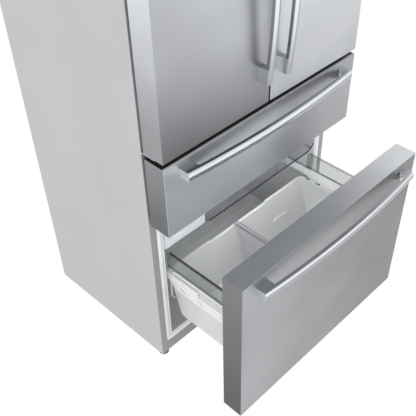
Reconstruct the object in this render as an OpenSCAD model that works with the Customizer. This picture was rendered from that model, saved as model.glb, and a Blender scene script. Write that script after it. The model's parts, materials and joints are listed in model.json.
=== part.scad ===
// Four door bottom freezer refrigerator: two upper doors, a chiller drawer and a freezer drawer.
// The freezer drawer is drawn part way out. +X is to the right, +Y to the back and +Z up,
// and the origin lies on the floor at the middle of the whole outline.

/* [Cabinet] */
// Width over the side panels
cab_w = 905; // [890:1:930]
// Depth from the front flange to the back panel
cab_d = 610; // [605:1:640]
// Height of the side panels' lower edge above the floor
cab_lift = 12; // [10:1:14]
// Sheet steel of the outer case
case_t = 1; // [0.6:0.1:1.4]
// Width of the flange that the case turns in at the front
flange_w = 27.5; // [26:0.5:29]
// Foam and skins beside the compartments
side_wall = 52.5; // [50:0.5:58]
// Thickness of the vacuum formed liners
liner_t = 2; // [1.5:0.1:2.5]
// Foam and skins above the refrigerator compartment
top_wall = 47; // [42:1:55]
// How far each crossbar laps behind the fronts above and below it
bar_lap = 19; // [17:0.5:21]
// Foam and skins behind the refrigerator compartment
fridge_wall = 50; // [40:1:60]
// Foam and skins behind the chiller compartment
chiller_wall = 70; // [55:1:80]
// Foam and skins behind the freezer
freezer_wall = 70; // [55:1:80]
// Depth of the machine compartment
mach_d = 200; // [190:1:204]
// Height of the freezer's floor
freezer_floor = 100; // [95:1:110]
// Height of the step in the freezer's floor
freezer_step = 330; // [322:1:340]
// Height of the toe plinth's top
plinth_top = 68; // [60:1:74]
// Height of the machine compartment's roof
mach_top = 290; // [280:1:300]

/* [Fronts] */
// Thickness of the doors and drawer fronts
door_t = 84; // [78:1:90]
// Gap that the gaskets fill
door_gap = 10; // [9:0.5:12]
// Height of the freezer front's lower edge
freezer_front_z = 24.5; // [20:0.5:30]
// Height of the freezer front
freezer_front_h = 646.8; // [630:0.2:660]
// Gap between the freezer front and the chiller front
low_gap = 12; // [10:0.5:14]
// Height of the chiller front
chiller_front_h = 260.3; // [250:0.1:275]
// Gap between the chiller front and the upper doors
mid_gap = 19; // [18:0.5:22]
// Height of the upper doors
door_h = 837.4; // [800:0.2:860]
// Gap between the two upper doors
centre_gap = 7; // [6:0.5:9]
// How far the upper doors stand above the cabinet's top
door_over = 3; // [2:0.5:5]
// Sheet steel of the fronts
skin_t = 1; // [0.6:0.1:1.4]
// Radius of the fronts' vertical edges
edge_r = 3; // [2:0.5:6]
// How far the freezer drawer stands open
freezer_open = 306; // [290:1:315]

/* [Handles] */
// Distance from a drawer front's sides to its handle's ends
bar_inset = 62.5; // [52:0.5:90]
// Height of the drawer handles' section
bar_h = 32; // [26:0.5:36]
// Length of the door handles
grip_len = 647; // [600:1:690]
// Width of the door handles' section
grip_w = 24; // [22:0.5:28]
// Thickness of a handle at its edges
bar_t = 12; // [10:0.5:14]
// How far a handle's ends stand off the front
bar_stand = 34; // [32:0.5:38]
// How much further a handle's middle stands out
bar_bow = 20; // [12:0.5:24]
// How much a handle's face is crowned
bar_crown = 5; // [3:0.5:6]
// Length of a handle's solid end
post_len = 50; // [40:1:56]
// Distance from the chiller front's top edge to its handle's middle
chiller_bar_drop = 41.6; // [36:0.2:46]
// Distance from the freezer front's top edge to its handle's middle
freezer_bar_drop = 50.3; // [44:0.1:56]
// Distance from a door's inner edge to its handle's middle
grip_inset = 40.5; // [36:0.5:44]

/* [Hinges] */
// Radius of the door hinge pins
pin_r = 6; // [5:0.5:7]
// Distance from the cabinet's side to a hinge pin
pin_inset = 22.5; // [22:0.5:24]
// Distance from the cabinet's front flange to a hinge pin
pin_front = 40; // [39:0.5:44]
// Length of a hinge pin inside its door
pin_len = 22; // [16:1:28]
// Height of the top hinge covers above the doors
cover_h = 29; // [24:1:34]

/* [Freezer drawer] */
// Distance from the slides' white side frames' top down to the deep bin's rim
bin_rim_drop = 52; // [48:1:58]
// Distance from the freezer's floor up to the deep bin
bin_up = 86; // [60:1:96]
// Gap between the deep bin and the side frames
bin_gap = 6; // [4:0.5:12]
// Distance from the deep bin to the wall behind it when the drawer is shut
bin_back = 28; // [24:1:40]
// Distance from the clear side panels' top edge down to the side frames
panel_h = 73; // [60:1:76]
// Height of the slides' white side frames
frame_h = 94; // [90:1:98]
// How much shorter the side frames are than their slides
frame_short = 39; // [32:1:46]
// Wall of the bins and trays
bin_t = 3; // [2:0.25:4]

/* [Trays and bins] */
// Distance from the middle crossbar down to the upper tray's lower face
tray_drop = 133.3; // [126:0.1:136]
// Distance from the clear side panels up to the upper tray
tray_over = 16; // [13:0.5:20]
// Width of the ice bin
ice_w = 202; // [190:1:210]
// Distance from the upper tray to the freezer's back cover
tray_back = 40; // [30:1:70]
// Height of the upper tray
tray_h = 118; // [90:1:122]
// Height of the ice bin
ice_h = 88; // [70:1:90]
// Depth of the door bins
door_bin_d = 118; // [100:1:120]
// Height of the door bins
door_bin_h = 95; // [80:1:110]
// Height of the crispers
crisper_h = 174; // [150:1:180]
// Distance from the front flange to the crispers and the shelves
shelf_front = 140; // [134:1:150]

/* [Hidden] */
$fn = 96;
over = 1; // overrun of every cut
touch = 0.3; // clearance between pieces that lie on each other and move
run = 0.06; // radial clearance of a pin or shaft in its bore

// Heights of the fronts, crossbars and compartments
freezer_front_top = freezer_front_z + freezer_front_h;
chiller_front_z = freezer_front_top + low_gap;
chiller_front_top = chiller_front_z + chiller_front_h;
door_z = chiller_front_top + mid_gap;
door_top = door_z + door_h;
cab_top = door_top - door_over;
low_bar_z = freezer_front_top - bar_lap;
low_bar_top = chiller_front_z + bar_lap;
up_bar_z = chiller_front_top - bar_lap;
up_bar_top = door_z + bar_lap;
fridge_top = cab_top - top_wall;

// Widths and depths of the cabinet
case_in = cab_w / 2 - case_t;
flange_in = cab_w / 2 - flange_w;
room_in = cab_w / 2 - side_wall;
fridge_d = cab_d - fridge_wall;
chiller_d = cab_d - chiller_wall;
freezer_d = cab_d - freezer_wall;
back_t = 1;
front_y = -door_gap - door_t; // face of the fronts
rear_y = -door_gap; // back of the fronts
mach_wall = 40; // foam between the freezer and the machine compartment
mach_y = cab_d - mach_d;
freezer_low_d = mach_y - mach_wall;
pan_t = 2;
bar_d = 30; // depth of the crossbars
bar_wall = 1.5;
plinth_d = 45;
plinth_wall = 2.5;
rib_h = 5; // ledges that carry the glass shelves
rib_out = 6;

// Water inlet, which sets how far the outline reaches at the back
stub_r = 3.175;
stub_out = 12;
handle_reach = bar_stand + bar_bow + bar_crown;
y_mid = (cab_d + stub_out + front_y - handle_reach - freezer_open) / 2;

// Feet and rollers
foot_r = 17;
foot_h = 9;
foot_inset = 21.5;
foot_x = cab_w / 2 - foot_inset;
foot_y = 26;
stem_r = 5;
stem_top = 60;
block_w = 2 * (foot_inset - case_t);
roller_r = 22;
roller_w = 18;
roller_inset = 37.5;
roller_x = cab_w / 2 - roller_inset;
roller_back = 66;
roller_y = cab_d - roller_back;
axle_r = 4;
ear_t = 2;
ear_gap = 1;
ear_len = 28;
ear_over = 10;

// Upper doors
inner_edge = centre_gap / 2;
outer_edge = cab_w / 2;
pin_x = cab_w / 2 - pin_inset;
plate_t = 4; // hinge plates
hinge_gap = 1; // between a door and its hinge plate
hinge_w = 50;
hinge_back = 60;
hinge_front = 16; // plate in front of the pin
seat_t = 3; // vertical leaf of the centre hinges
cover_w = 62;
cover_back = 78;
cover_t = 2;
seal_w = 20;
seal_gap = 0.2;
seal_edge = 5; // from a door's inner edge to its gasket
seal_lap = 8; // from a front's top and bottom edges to its gasket
freezer_seal_z = plinth_top - seal_lap;
back_liner_t = 2.5; // inner liner of the fronts
dike_w = 12;
dike_top = 40;
dike_in = 50;
dike_side = 5;
dike_out = room_in - dike_side;
dike_end = 5; // from the dike frame to the gasket and the compartment's ceiling
inner_low = door_z + seal_lap + seal_w; // lower gasket's inner edge
door_bin_shares = [0.25, 0.49, 0.73];
door_bin_y = rear_y;

// Fold out flap behind the doors' meeting edges
flap_x = -36;
flap_y = 8.5;
flap_t = 16;
flap_len = 62;
flap_pin_r = 3;
flap_pin_len = 7;
lug_w = 12;
lug_h = 8;
lug_end = 4;
flap_gap = 0.5;
low_lug_z = inner_low + lug_end;
flap_z = low_lug_z + lug_h + flap_gap;
flap_top = fridge_top - lug_end - lug_h - flap_gap;

// Slides: the fixed, middle and moving members stand side by side from the wall inwards
slide_t = 8;
slide_gap = 0.7;
mid_t = 5.7;
fixed_in = room_in - slide_t - slide_gap;
mid_out = fixed_in - touch;
mid_in = mid_out - mid_t;
frame_out = mid_in - touch;
frame_t = 7;
frame_in = frame_out - frame_t;
web_t = 3; // lower web of a side frame
web_share = 1 / 3;
tray_low = low_bar_z - tray_drop;
panel_top = tray_low - tray_over;
frame_top = panel_top - panel_h;
frame_low = frame_top - frame_h;
slide_h = 36;
slide_drop = 14;
slide_z = frame_top - slide_drop;
slide_y = 10;
slide_back = 38;
slide_len = freezer_low_d - slide_back - slide_y;
frame_len = slide_len - frame_short;
channel_t = 1.6;
half_travel_share = 0.5;
panel_t = 3;
hook_len = 24;
hook_w = 14;
hook_drop = 50;
chiller_frame_up = 41.7; // from the middle crossbar
chiller_frame_h = 48;
chiller_slide_drop = 16;
chiller_frame_low = low_bar_top + chiller_frame_up;
chiller_frame_top = chiller_frame_low + chiller_frame_h;
chiller_slide_z = chiller_frame_top - chiller_slide_drop;
chiller_slide_back = 60;
chiller_slide_len = chiller_d - chiller_slide_back - slide_y;
chiller_bin_up = 12;
chiller_bin_drop = 30;
chiller_bin_back = 70;
chiller_bin_z = low_bar_top + chiller_bin_up;
chiller_bin_top = up_bar_z - chiller_bin_drop;
chiller_bin_d = chiller_d - chiller_bin_back - rear_y;
lip_h = 4; // rims by which the bins hang on the side frames

// Deep bin
bin_rim = frame_top - bin_rim_drop;
bin_low = freezer_floor + bin_up;
bin_w = 2 * (frame_in - bin_gap);
bin_d = freezer_low_d - bin_back - rear_y;
taper = 12;
bevel = 16;
rim_t = 4;
divider_x = -22;
divider_t = 4;
divider_over = 8;

// Runners under the upper tray and the ice bin
crisper_gap = 4; // beside the crispers, the tray and the ice bin
runner_t = 3.7;
runner_w = 9;
hanger_t = 3;
ice_x = -room_in + crisper_gap + ice_w;
tray_gap = 5;
tray_front = 2;
maker_gap = 6; // between the ice bin and the ice maker
maker_y = 14;
drive_len = 44;
mould_len = 272;
cubes = 7;
cube_r = 15;

// Crispers, shelves and ducts
crisper_back = 30; // from the crispers to the back wall
crisper_d = fridge_d - crisper_back - shelf_front;
pull_in = 24; // cut in a crisper's front, to pull it by
pull_h = 24;
shelf_t = 4.5;
shelf_rim = 14;
shelf_rim_h = 10;
shelf_side = 0.5;
shelf_back = 35;
shelf_d = fridge_d - shelf_back - shelf_front;
shelf_shares = [0.245, 0.49, 0.72];
duct_w = 240;
duct_t = 13;
duct_end = 10;
slot_w = 60;
slot_h = 8;
slot_pitch = 110;
cover_gap = 70; // from the freezer's back cover to its back wall
sheet_t = 3;
fan_hole_r = 54;
fan_drop = 87.3; // from the middle crossbar's lower edge
fan_z = low_bar_z - fan_drop;
tray_d = freezer_d - cover_gap - tray_back;

// Evaporator, condenser, compressor and fans
coil_side = 160; // from the evaporator to the side walls
coil_w = 2 * (room_in - coil_side);
coil_up = 18;
coil_z = freezer_step + coil_up;
coil_drop = 13; // from the fan's hole
coil_h = fan_z - fan_hole_r - coil_drop - coil_z;
coil_d = 44;
fin_t = 1.2;
fin_count = 21;
tube_r = 4;
tube_rows = 4;
fan_r = 48;
hub_r = 15;
hub_t = 14;
blade_t = 2.4;
blade_tilt = 32;
blades = 5;
shaft_r = 2.5;
motor_r = 21;
motor_len = 26;
comp_side = 221.5; // from the case's side to the compressor's middle
comp_x = case_in - comp_side;
comp_r = 76;
comp_h = 168;
comp_in = 104;
comp_y = mach_y + comp_in;
comp_to_fan = 252;
cond_fan_x = comp_x - comp_to_fan;
cond_fan_r = 66;
cond_to_fan = 78;
cond_side = 51.5; // from the case's side to the condenser
cond_x = -case_in + cond_side;
cond_w = cond_fan_x - cond_to_fan - cond_x;
cond_in = 30;
cond_y = mach_y + cond_in;
cond_d = 140;
cond_h = 170;
cond_up = 14;
cond_z = cab_lift + pan_t + cond_up;
cond_fins = 19;
cond_motor_up = 84;
cond_motor_z = cab_lift + pan_t + cond_motor_up;
comp_foot_h = 14;
comp_foot = 96;
comp_bolt_in = 10; // from the foot plate's edges to its grommets
grommet_r = 8;
shell_shares = [[0.7, 0], [0.92, 0.08], [1, 0.2], [1, 0.75], [0.9, 0.9], [0.6, 0.98]];
valve_side = 151.5;
valve_x = -case_in + valve_side;
valve_drop = 34;
valve_z = mach_top - valve_drop;
valve_w = 44;
valve_d = 34;
valve_h = 36;
stub_hole_r = 8;
gland_side = 111.5;
gland_x = case_in - gland_side;
gland_up = 48;
gland_z = cab_lift + gland_up;
gland_r = 5;
gland_ring_r = 11;
gland_out = 8;
vent_w = 90;
vent_h = 5;
vent_pitch = 14;
vent_rows = 9;
vent_z = 90;

// Colours as the photograph shows them
case_grey = "#c4c6c9";
steel = "#a9adb2";
bright = "#d6d8da";
zinc = "#b9bcbf";
white = "#eceff0";
pale = "#dfe3e6";
clear = [0.82, 0.88, 0.9, 0.45];
glass = [0.75, 0.85, 0.82, 0.5];
seal_grey = "#4a4d4e";
plinth_grey = "#9b9ea1";
foam_cream = "#e8dcb5";
black = "#232527";
copper = "#b06b3f";

// Helpers: a box between two corners, a pair mirrored about the middle, and outlines pulled
// along X or Y
module box(lo, hi) translate(lo) cube(hi - lo);

module both_sides() {
    children();
    mirror([1, 0, 0]) children();
}

module placed() translate([0, -y_mid, 0]) children();

module drawer_out() placed() translate([0, -freezer_open, 0]) children();

module along_x(x0, x1) translate([x0, 0, 0]) rotate([90, 0, 90]) linear_extrude(x1 - x0) children();

module along_y(y0, y1) translate([0, y1, 0]) rotate([90, 0, 0]) linear_extrude(y1 - y0) children();

module rod_x(x0, x1, r) translate([x0, 0, 0]) rotate([0, 90, 0]) cylinder(h = x1 - x0, r = r);

module rod_y(y0, y1, r) translate([0, y1, 0]) rotate([90, 0, 0]) cylinder(h = y1 - y0, r = r);

module rod_z(z0, z1, r) translate([0, 0, z0]) cylinder(h = z1 - z0, r = r);

// An open topped box
module tub(lo, hi, t) {
    difference() {
        box(lo, hi);
        box(lo + [t, t, t], hi + [-t, -t, over]);
    }
}

// Cabinet
module outer_case() color(case_grey) placed() difference() {
    box([-cab_w / 2, 0, cab_lift], [cab_w / 2, cab_d, cab_top]);
    box([-case_in, case_t, -over], [case_in, cab_d + over, cab_top - case_t]);
    box([-flange_in, -over, -over], [flange_in, case_t + over, cab_top - flange_w]);
}

module back_panel() color(zinc) placed()
    box([-case_in, cab_d - back_t, mach_top], [case_in, cab_d, cab_top - case_t]);

module base_pan() color(zinc) placed() {
    end_y = cab_d - back_t;
    floor_top = cab_lift + pan_t;
    difference() {
        along_x(-case_in, case_in) polygon([
            [plinth_d, plinth_top - pan_t], [mach_y, plinth_top - pan_t], [mach_y, cab_lift],
            [end_y, cab_lift], [end_y, floor_top], [mach_y + pan_t, floor_top],
            [mach_y + pan_t, mach_top - pan_t], [end_y, mach_top - pan_t], [end_y, mach_top],
            [mach_y, mach_top], [mach_y, plinth_top], [plinth_d, plinth_top]]);
        both_sides() translate([roller_x, roller_y, 0])
            box([-roller_w / 2 - ear_gap, -roller_r - ear_gap, cab_lift - over],
                [roller_w / 2 + ear_gap, roller_r + ear_gap, floor_top + over]);
    }
    both_sides() translate([roller_x, roller_y, 0]) {
        for (side = [-1, 1]) translate([side * (roller_w / 2 + ear_gap + ear_t / 2), 0, 0])
            box([-ear_t / 2, -ear_len / 2, floor_top], [ear_t / 2, ear_len / 2, roller_r + ear_over]);
        translate([0, 0, roller_r])
            rod_x(-roller_w / 2 - ear_gap - ear_t - ear_gap, roller_w / 2 + ear_gap + ear_t + ear_gap,
                  axle_r);
    }
}

module liner_shell(d, z0, z1) box([-room_in - liner_t, 0, z0 - liner_t],
                                  [room_in + liner_t, d + liner_t, z1 + liner_t]);

module liner_lip(z0, z1) box([-flange_in, 0, z0], [flange_in, liner_t, z1]);

module room(d, z0, z1) box([-room_in, -over, z0], [room_in, d, z1]);

module shelf_ribs() for (share = shelf_shares) both_sides()
    box([room_in - rib_out, shelf_front, shelf_height(share) - rib_h],
        [room_in, shelf_front + shelf_d, shelf_height(share)]);

function shelf_height(share) = up_bar_top + share * (fridge_top - up_bar_top);

module cabinet_foam() color(foam_cream) placed() difference() {
    box([-case_in, liner_t, plinth_top], [case_in, cab_d - back_t, cab_top - case_t]);
    liner_shell(fridge_d, up_bar_top, fridge_top);
    liner_shell(chiller_d, low_bar_top, up_bar_z);
    freezer_shape(liner_t);
    crossbar_space(low_bar_z, low_bar_top);
    crossbar_space(up_bar_z, up_bar_top);
    box([-cab_w, mach_y, 0], [cab_w, cab_d, mach_top]);
}

module fridge_liner() color(pale) placed() {
    difference() {
        union() {
            liner_shell(fridge_d, up_bar_top, fridge_top);
            liner_lip(up_bar_top - liner_t, cab_top - flange_w);
        }
        room(fridge_d, up_bar_top, fridge_top);
    }
    shelf_ribs();
}

module chiller_liner() color(pale) placed() difference() {
    union() {
        liner_shell(chiller_d, low_bar_top, up_bar_z);
        liner_lip(low_bar_top - liner_t, up_bar_z + liner_t);
    }
    room(chiller_d, low_bar_top, up_bar_z);
}

// The freezer's space, grown by t on its walls
module freezer_shape(t) {
    box([-room_in - t, 0, freezer_floor - t], [room_in + t, freezer_low_d + t, low_bar_z + t]);
    box([-room_in - t, 0, freezer_step - t], [room_in + t, freezer_d + t, low_bar_z + t]);
}

module freezer_liner() color(pale) placed() difference() {
    union() {
        freezer_shape(liner_t);
        liner_lip(plinth_top, low_bar_z + liner_t);
    }
    room(freezer_low_d, freezer_floor, low_bar_z);
    room(freezer_d, freezer_step, low_bar_z);
}

module crossbar_space(z0, z1)
    box([-flange_in, 0, z0 + liner_t], [flange_in, bar_d, z1 - liner_t]);

module crossbar(z0, z1) difference() {
    crossbar_space(z0, z1);
    box([-flange_in - over, bar_wall, z0 + liner_t + bar_wall],
        [flange_in + over, bar_d + over, z1 - liner_t - bar_wall]);
}

module front_crossbars() color(case_grey) placed() {
    crossbar(low_bar_z, low_bar_top);
    crossbar(up_bar_z, up_bar_top);
}

module toe_plinth() color(plinth_grey) placed() difference() {
    union() {
        difference() {
            union() {
                box([-case_in, case_t, cab_lift], [case_in, plinth_d, plinth_top]);
                box([-flange_in, 0, cab_lift], [flange_in, case_t + over, plinth_top]);
            }
            box([-case_in + plinth_wall, plinth_wall, cab_lift - over],
                [case_in - plinth_wall, plinth_d + over, plinth_top - plinth_wall]);
        }
        both_sides() box([foot_x - block_w / 2, case_t, cab_lift], [case_in, plinth_d, plinth_top]);
    }
    both_sides() translate([foot_x, foot_y, 0]) rod_z(cab_lift - over, stem_top + over, stem_r + run);
}

module levelling_feet() color(black) placed() both_sides() translate([foot_x, foot_y, 0]) {
    rod_z(0, foot_h, foot_r);
    rod_z(0, stem_top, stem_r);
}

module roller() difference() {
    translate([0, 0, roller_r]) rod_x(-roller_w / 2, roller_w / 2, roller_r);
    translate([0, 0, roller_r]) rod_x(-roller_w, roller_w, axle_r + run);
}

module roller_left() color(black) placed() translate([-roller_x, roller_y, 0]) roller();

module roller_right() color(black) placed() translate([roller_x, roller_y, 0]) roller();

module machine_cover() color(zinc) placed() difference() {
    union() {
        box([-case_in, cab_d - back_t, cab_lift], [case_in, cab_d, mach_top]);
        translate([gland_x, 0, gland_z]) rod_y(cab_d - back_t, cab_d + gland_out, gland_ring_r);
    }
    translate([gland_x, 0, gland_z]) rod_y(cab_d - plinth_d, cab_d + plinth_d, gland_r);
    translate([valve_x, 0, valve_z]) rod_y(cab_d - plinth_d, cab_d + plinth_d, stub_hole_r);
    for (row = [0:vent_rows - 1], column = [-1, 1])
        translate([column * vent_w, 0, vent_z + row * vent_pitch])
            box([-vent_w / 2 + vent_h, cab_d - back_t - over, 0],
                [vent_w / 2 - vent_h, cab_d + over, vent_h]);
}

// Machine compartment
module compressor() color(black) placed() translate([comp_x, comp_y, cab_lift + pan_t]) {
    rotate_extrude() translate([0, comp_foot_h]) polygon(concat(
        [[0, 0]], [for (share = shell_shares) [comp_r * share[0], comp_h * share[1]]], [[0, comp_h]]));
    box([-comp_foot, -comp_foot / 2, comp_foot_h - pan_t],
        [comp_foot, comp_foot / 2, comp_foot_h]);
    for (side = [-1, 1], end = [-1, 1])
        translate([side * (comp_foot - comp_bolt_in), end * (comp_foot / 2 - comp_bolt_in), 0])
            rod_z(0, comp_foot_h, grommet_r);
}

module condenser() color(black) placed() {
    end_x = cond_x + cond_w;
    floor_top = cab_lift + pan_t;
    for (i = [0:cond_fins - 1]) translate([cond_x + i * (cond_w - fin_t) / (cond_fins - 1), 0, 0])
        box([0, cond_y, i % (cond_fins - 1) == 0 ? floor_top : cond_z],
            [fin_t, cond_y + cond_d, cond_z + cond_h]);
    for (row = [0:tube_rows - 1], column = [0:tube_rows - 1])
        translate([0, cond_y + (column + 0.5) * cond_d / tube_rows,
                   cond_z + (row + 0.5) * cond_h / tube_rows])
            rod_x(cond_x - tube_r, end_x + tube_r, tube_r);
    translate([cond_fan_x, cond_y + cond_d / 2, cond_motor_z]) {
        rod_x(hub_t / 2 + ear_gap, hub_t / 2 + ear_gap + motor_len, motor_r);
        rod_x(-hub_t / 2, hub_t, shaft_r);
        box([hub_t / 2 + ear_gap + pan_t, -motor_r / 2, floor_top - cond_motor_z],
            [hub_t / 2 + ear_gap + motor_len - pan_t, motor_r / 2, 0]);
    }
}

// A fan turning about Z, with its hub's middle at the origin
module fan(r) difference() {
    union() {
        rod_z(-hub_t / 2, hub_t / 2, hub_r);
        for (i = [0:blades - 1]) rotate([0, 0, i * 360 / blades])
            rotate([blade_tilt, 0, 0])
                box([hub_r / 2, -hub_r / 2, -blade_t / 2], [r, hub_r / 2, blade_t / 2]);
    }
    rod_z(-hub_t, hub_t, shaft_r + run);
}

module condenser_fan() color(black) placed()
    translate([cond_fan_x, cond_y + cond_d / 2, cond_motor_z]) rotate([0, 90, 0]) fan(cond_fan_r);

module water_valve() color(white) placed() translate([valve_x, 0, valve_z]) {
    box([-valve_w / 2, cab_d - back_t - valve_d, -valve_h / 2],
        [valve_w / 2, cab_d - back_t, valve_h / 2]);
    rod_y(cab_d - back_t - valve_d, cab_d + stub_out, stub_r);
    translate([0, cab_d - back_t - valve_d / 2, 0]) rod_z(-valve_h, 0, valve_w / 3);
}

// Hinges of the upper doors, with their pins
module door_hinges() color(pale) placed() both_sides() {
    top_z = door_top + hinge_gap;
    low_z = door_z - hinge_gap - plate_t;
    plate_in = outer_edge - hinge_w;
    box([plate_in, -pin_front - hinge_front, top_z], [outer_edge - pan_t, hinge_back, top_z + plate_t]);
    box([plate_in, 0, cab_top], [outer_edge - pan_t, hinge_back, top_z]);
    translate([pin_x, -pin_front, 0]) rod_z(door_top - pin_len, top_z + plate_t, pin_r);
    box([plate_in, -pin_front - hinge_front, low_z], [outer_edge - pan_t, 0, low_z + plate_t]);
    box([plate_in, -seat_t, low_z - seat_t * 2], [outer_edge - pan_t, 0, low_z + plate_t]);
    translate([pin_x, -pin_front, 0]) rod_z(low_z, door_z + pin_len, pin_r);
}

module hinge_covers() color(zinc) placed() both_sides() {
    low = door_top + hinge_gap;
    high = door_top + cover_h;
    inner = outer_edge - cover_w;
    front = -pin_front - hinge_front - cover_t - touch;
    difference() {
        union() {
            box([inner, front, low], [outer_edge, cover_back, high]);
            box([inner, 0, cab_top], [outer_edge, cover_back, low + over]);
        }
        box([inner + cover_t, front + cover_t, cab_top - over],
            [outer_edge - cover_t + touch, cover_back - cover_t, high - cover_t]);
    }
}

// Inside of the refrigerator compartment
module air_ducts() color(white) placed() {
    difference() {
        box([-duct_w / 2, fridge_d - duct_t, up_bar_top + duct_end],
            [duct_w / 2, fridge_d, fridge_top - duct_end]);
        for (z = [up_bar_top + slot_pitch * 2:slot_pitch:fridge_top - slot_pitch], side = [-1, 1])
            translate([side * duct_w / 4, 0, z])
                box([-slot_w / 2, fridge_d - duct_t - over, 0],
                    [slot_w / 2, fridge_d - duct_t / 2, slot_h]);
    }
    difference() {
        box([-room_in, freezer_d - cover_gap, freezer_step],
            [room_in, freezer_d - cover_gap + sheet_t, low_bar_z]);
        translate([0, 0, fan_z])
            rod_y(freezer_d - cover_gap - over, freezer_d - cover_gap + sheet_t + over, fan_hole_r);
    }
}

module shelves() color(glass) placed() for (share = shelf_shares) {
    half = room_in - shelf_side;
    z = shelf_height(share);
    box([-half, shelf_front, z], [half, shelf_front + shelf_d, z + shelf_t]);
    for (y = [shelf_front, shelf_front + shelf_d - shelf_rim])
        box([-half, y, z], [half, y + shelf_rim, z + shelf_rim_h]);
}

module crisper() {
    low = [crisper_gap / 2, shelf_front, up_bar_top + touch];
    high = [room_in - crisper_gap, shelf_front + crisper_d, up_bar_top + crisper_h];
    difference() {
        tub(low, high, bin_t);
        box([low[0] + pull_in, low[1] - over, high[2] - pull_h],
            [high[0] - pull_in, low[1] + bin_t + over, high[2] + over]);
    }
}

module crisper_left() color(clear) placed() mirror([1, 0, 0]) crisper();

module crisper_right() color(clear) placed() crisper();

// Freezer
module evaporator() color(zinc) placed() {
    back = freezer_d;
    for (i = [0:fin_count - 1]) translate([-coil_w / 2 + i * (coil_w - fin_t) / (fin_count - 1), 0, 0])
        box([0, back - tube_r - coil_d, coil_z],
            [fin_t, i % (fin_count - 1) == 0 ? back : back - tube_r, coil_z + coil_h]);
    for (row = [0:tube_rows - 1], column_share = [0.25, 0.75])
        translate([0, back - tube_r - column_share * coil_d,
                   coil_z + (row + 0.5) * coil_h / tube_rows])
            rod_x(-coil_w / 2 - tube_r, coil_w / 2 + tube_r, tube_r);
    translate([0, 0, fan_z]) {
        rod_y(back - motor_len, back, motor_r);
        rod_y(back - motor_len - ear_gap - hub_t, back, shaft_r);
    }
}

module evaporator_fan() color(white) placed()
    translate([0, freezer_d - motor_len - ear_gap - hub_t / 2, fan_z]) rotate([90, 0, 0]) fan(fan_r);

// Mould with half round cube pockets, behind its drive housing
module ice_maker() color(white) placed() {
    low = tray_low + ice_h + maker_gap;
    left = -room_in + runner_w;
    right = ice_x - runner_w;
    mould_y = maker_y + drive_len;
    box([left, maker_y, low], [right, mould_y, low_bar_z]);
    difference() {
        box([left, mould_y, low], [right, mould_y + mould_len, low_bar_z]);
        for (i = [0:cubes - 1])
            translate([0, mould_y + (i + 1) * mould_len / (cubes + 1), low_bar_z - cube_r])
                rod_x(left + cube_r, right - cube_r, cube_r * 0.9);
    }
}

module ice_bin() color(white) placed()
    tub([-room_in + crisper_gap, 0, tray_low], [ice_x, tray_d, tray_low + ice_h], bin_t);

module upper_tray() color(clear) placed()
    tub([ice_x + tray_gap, tray_front, tray_low],
        [room_in - crisper_gap, tray_d, tray_low + tray_h], bin_t);

// Slides
module channel(x_in, x_out, y0, y1, z0, z1) both_sides() difference() {
    box([x_in, y0, z0], [x_out, y1, z1]);
    box([x_in - over, y0 - over, z0 + channel_t], [x_out - channel_t, y1 + over, z1 - channel_t]);
}

module fixed_rails() color(zinc) placed() {
    channel(fixed_in, room_in, slide_y, slide_y + slide_len, slide_z - slide_h, slide_z);
    channel(fixed_in, room_in, slide_y, slide_y + chiller_slide_len,
            chiller_slide_z - slide_h, chiller_slide_z);
    runner_z = tray_low - touch - runner_t;
    both_sides() box([room_in - runner_w, slide_y, runner_z],
                     [room_in, tray_d, tray_low - touch]);
    middle = ice_x + tray_gap / 2;
    box([middle - runner_w, slide_y, runner_z], [middle + runner_w, tray_d, tray_low - touch]);
    box([middle - hanger_t / 2, slide_y, runner_z], [middle + hanger_t / 2, tray_d, low_bar_z]);
}

module freezer_rails_mid() color(zinc) placed() translate([0, -freezer_open * half_travel_share, 0])
    both_sides() box([mid_in, slide_y, slide_z - slide_h + channel_t + touch],
                     [mid_out, slide_y + slide_len, slide_z - channel_t - touch]);

module chiller_rails_mid() color(zinc) placed()
    both_sides() box([mid_in, slide_y, chiller_slide_z - slide_h + channel_t + touch],
                     [mid_out, slide_y + chiller_slide_len, chiller_slide_z - channel_t - touch]);

// A side frame: a moving slide member with its lower web, from the front's back to its end
module side_frames(z0, z1, len, web_z) both_sides() {
    box([frame_in, rear_y, z0], [frame_out, rear_y + len, z1]);
    box([frame_out - web_t, rear_y, web_z], [frame_out, rear_y + len, z0]);
}

module freezer_rails_moving() color(white) drawer_out() {
    web_top = frame_low + web_share * (frame_top - frame_low);
    side_frames(web_top, frame_top, frame_len, frame_low);
    both_sides() {
        box([frame_out - web_t, rear_y + frame_len, frame_low],
            [frame_out, rear_y + frame_len + hook_len, web_top]);
        box([frame_out - web_t, rear_y + frame_len + hook_len, frame_low - hook_drop],
            [frame_out, rear_y + frame_len + hook_len + hook_w, web_top]);
    }
}

module chiller_rails_moving() color(white) placed()
    side_frames(chiller_frame_low + web_share * (chiller_frame_top - chiller_frame_low),
                chiller_frame_top, chiller_slide_len - hook_len, chiller_frame_low);

// Outline of the deep bin across its width, drawn in by t
function bin_outline(t) = [
    [-bin_w / 2 + t, bin_rim], [-bin_w / 2 + taper + t, bin_low + bevel + t],
    [-bin_w / 2 + taper + bevel + t, bin_low + t], [bin_w / 2 - taper - bevel - t, bin_low + t],
    [bin_w / 2 - taper - t, bin_low + bevel + t], [bin_w / 2 - t, bin_rim]];

module freezer_bin() color(pale) drawer_out() {
    difference() {
        union() {
            along_y(rear_y, rear_y + bin_d) polygon(bin_outline(0));
            box([-frame_in, rear_y, bin_rim - rim_t], [frame_in, rear_y + bin_d + rim_t, bin_rim]);
        }
        along_y(rear_y + bin_t, rear_y + bin_d - bin_t) polygon(bin_outline(bin_t));
        box([-bin_w / 2 + bin_t, rear_y + bin_t, bin_rim - rim_t - over],
            [bin_w / 2 - bin_t, rear_y + bin_d - bin_t, bin_rim + over]);
    }
}

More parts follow.
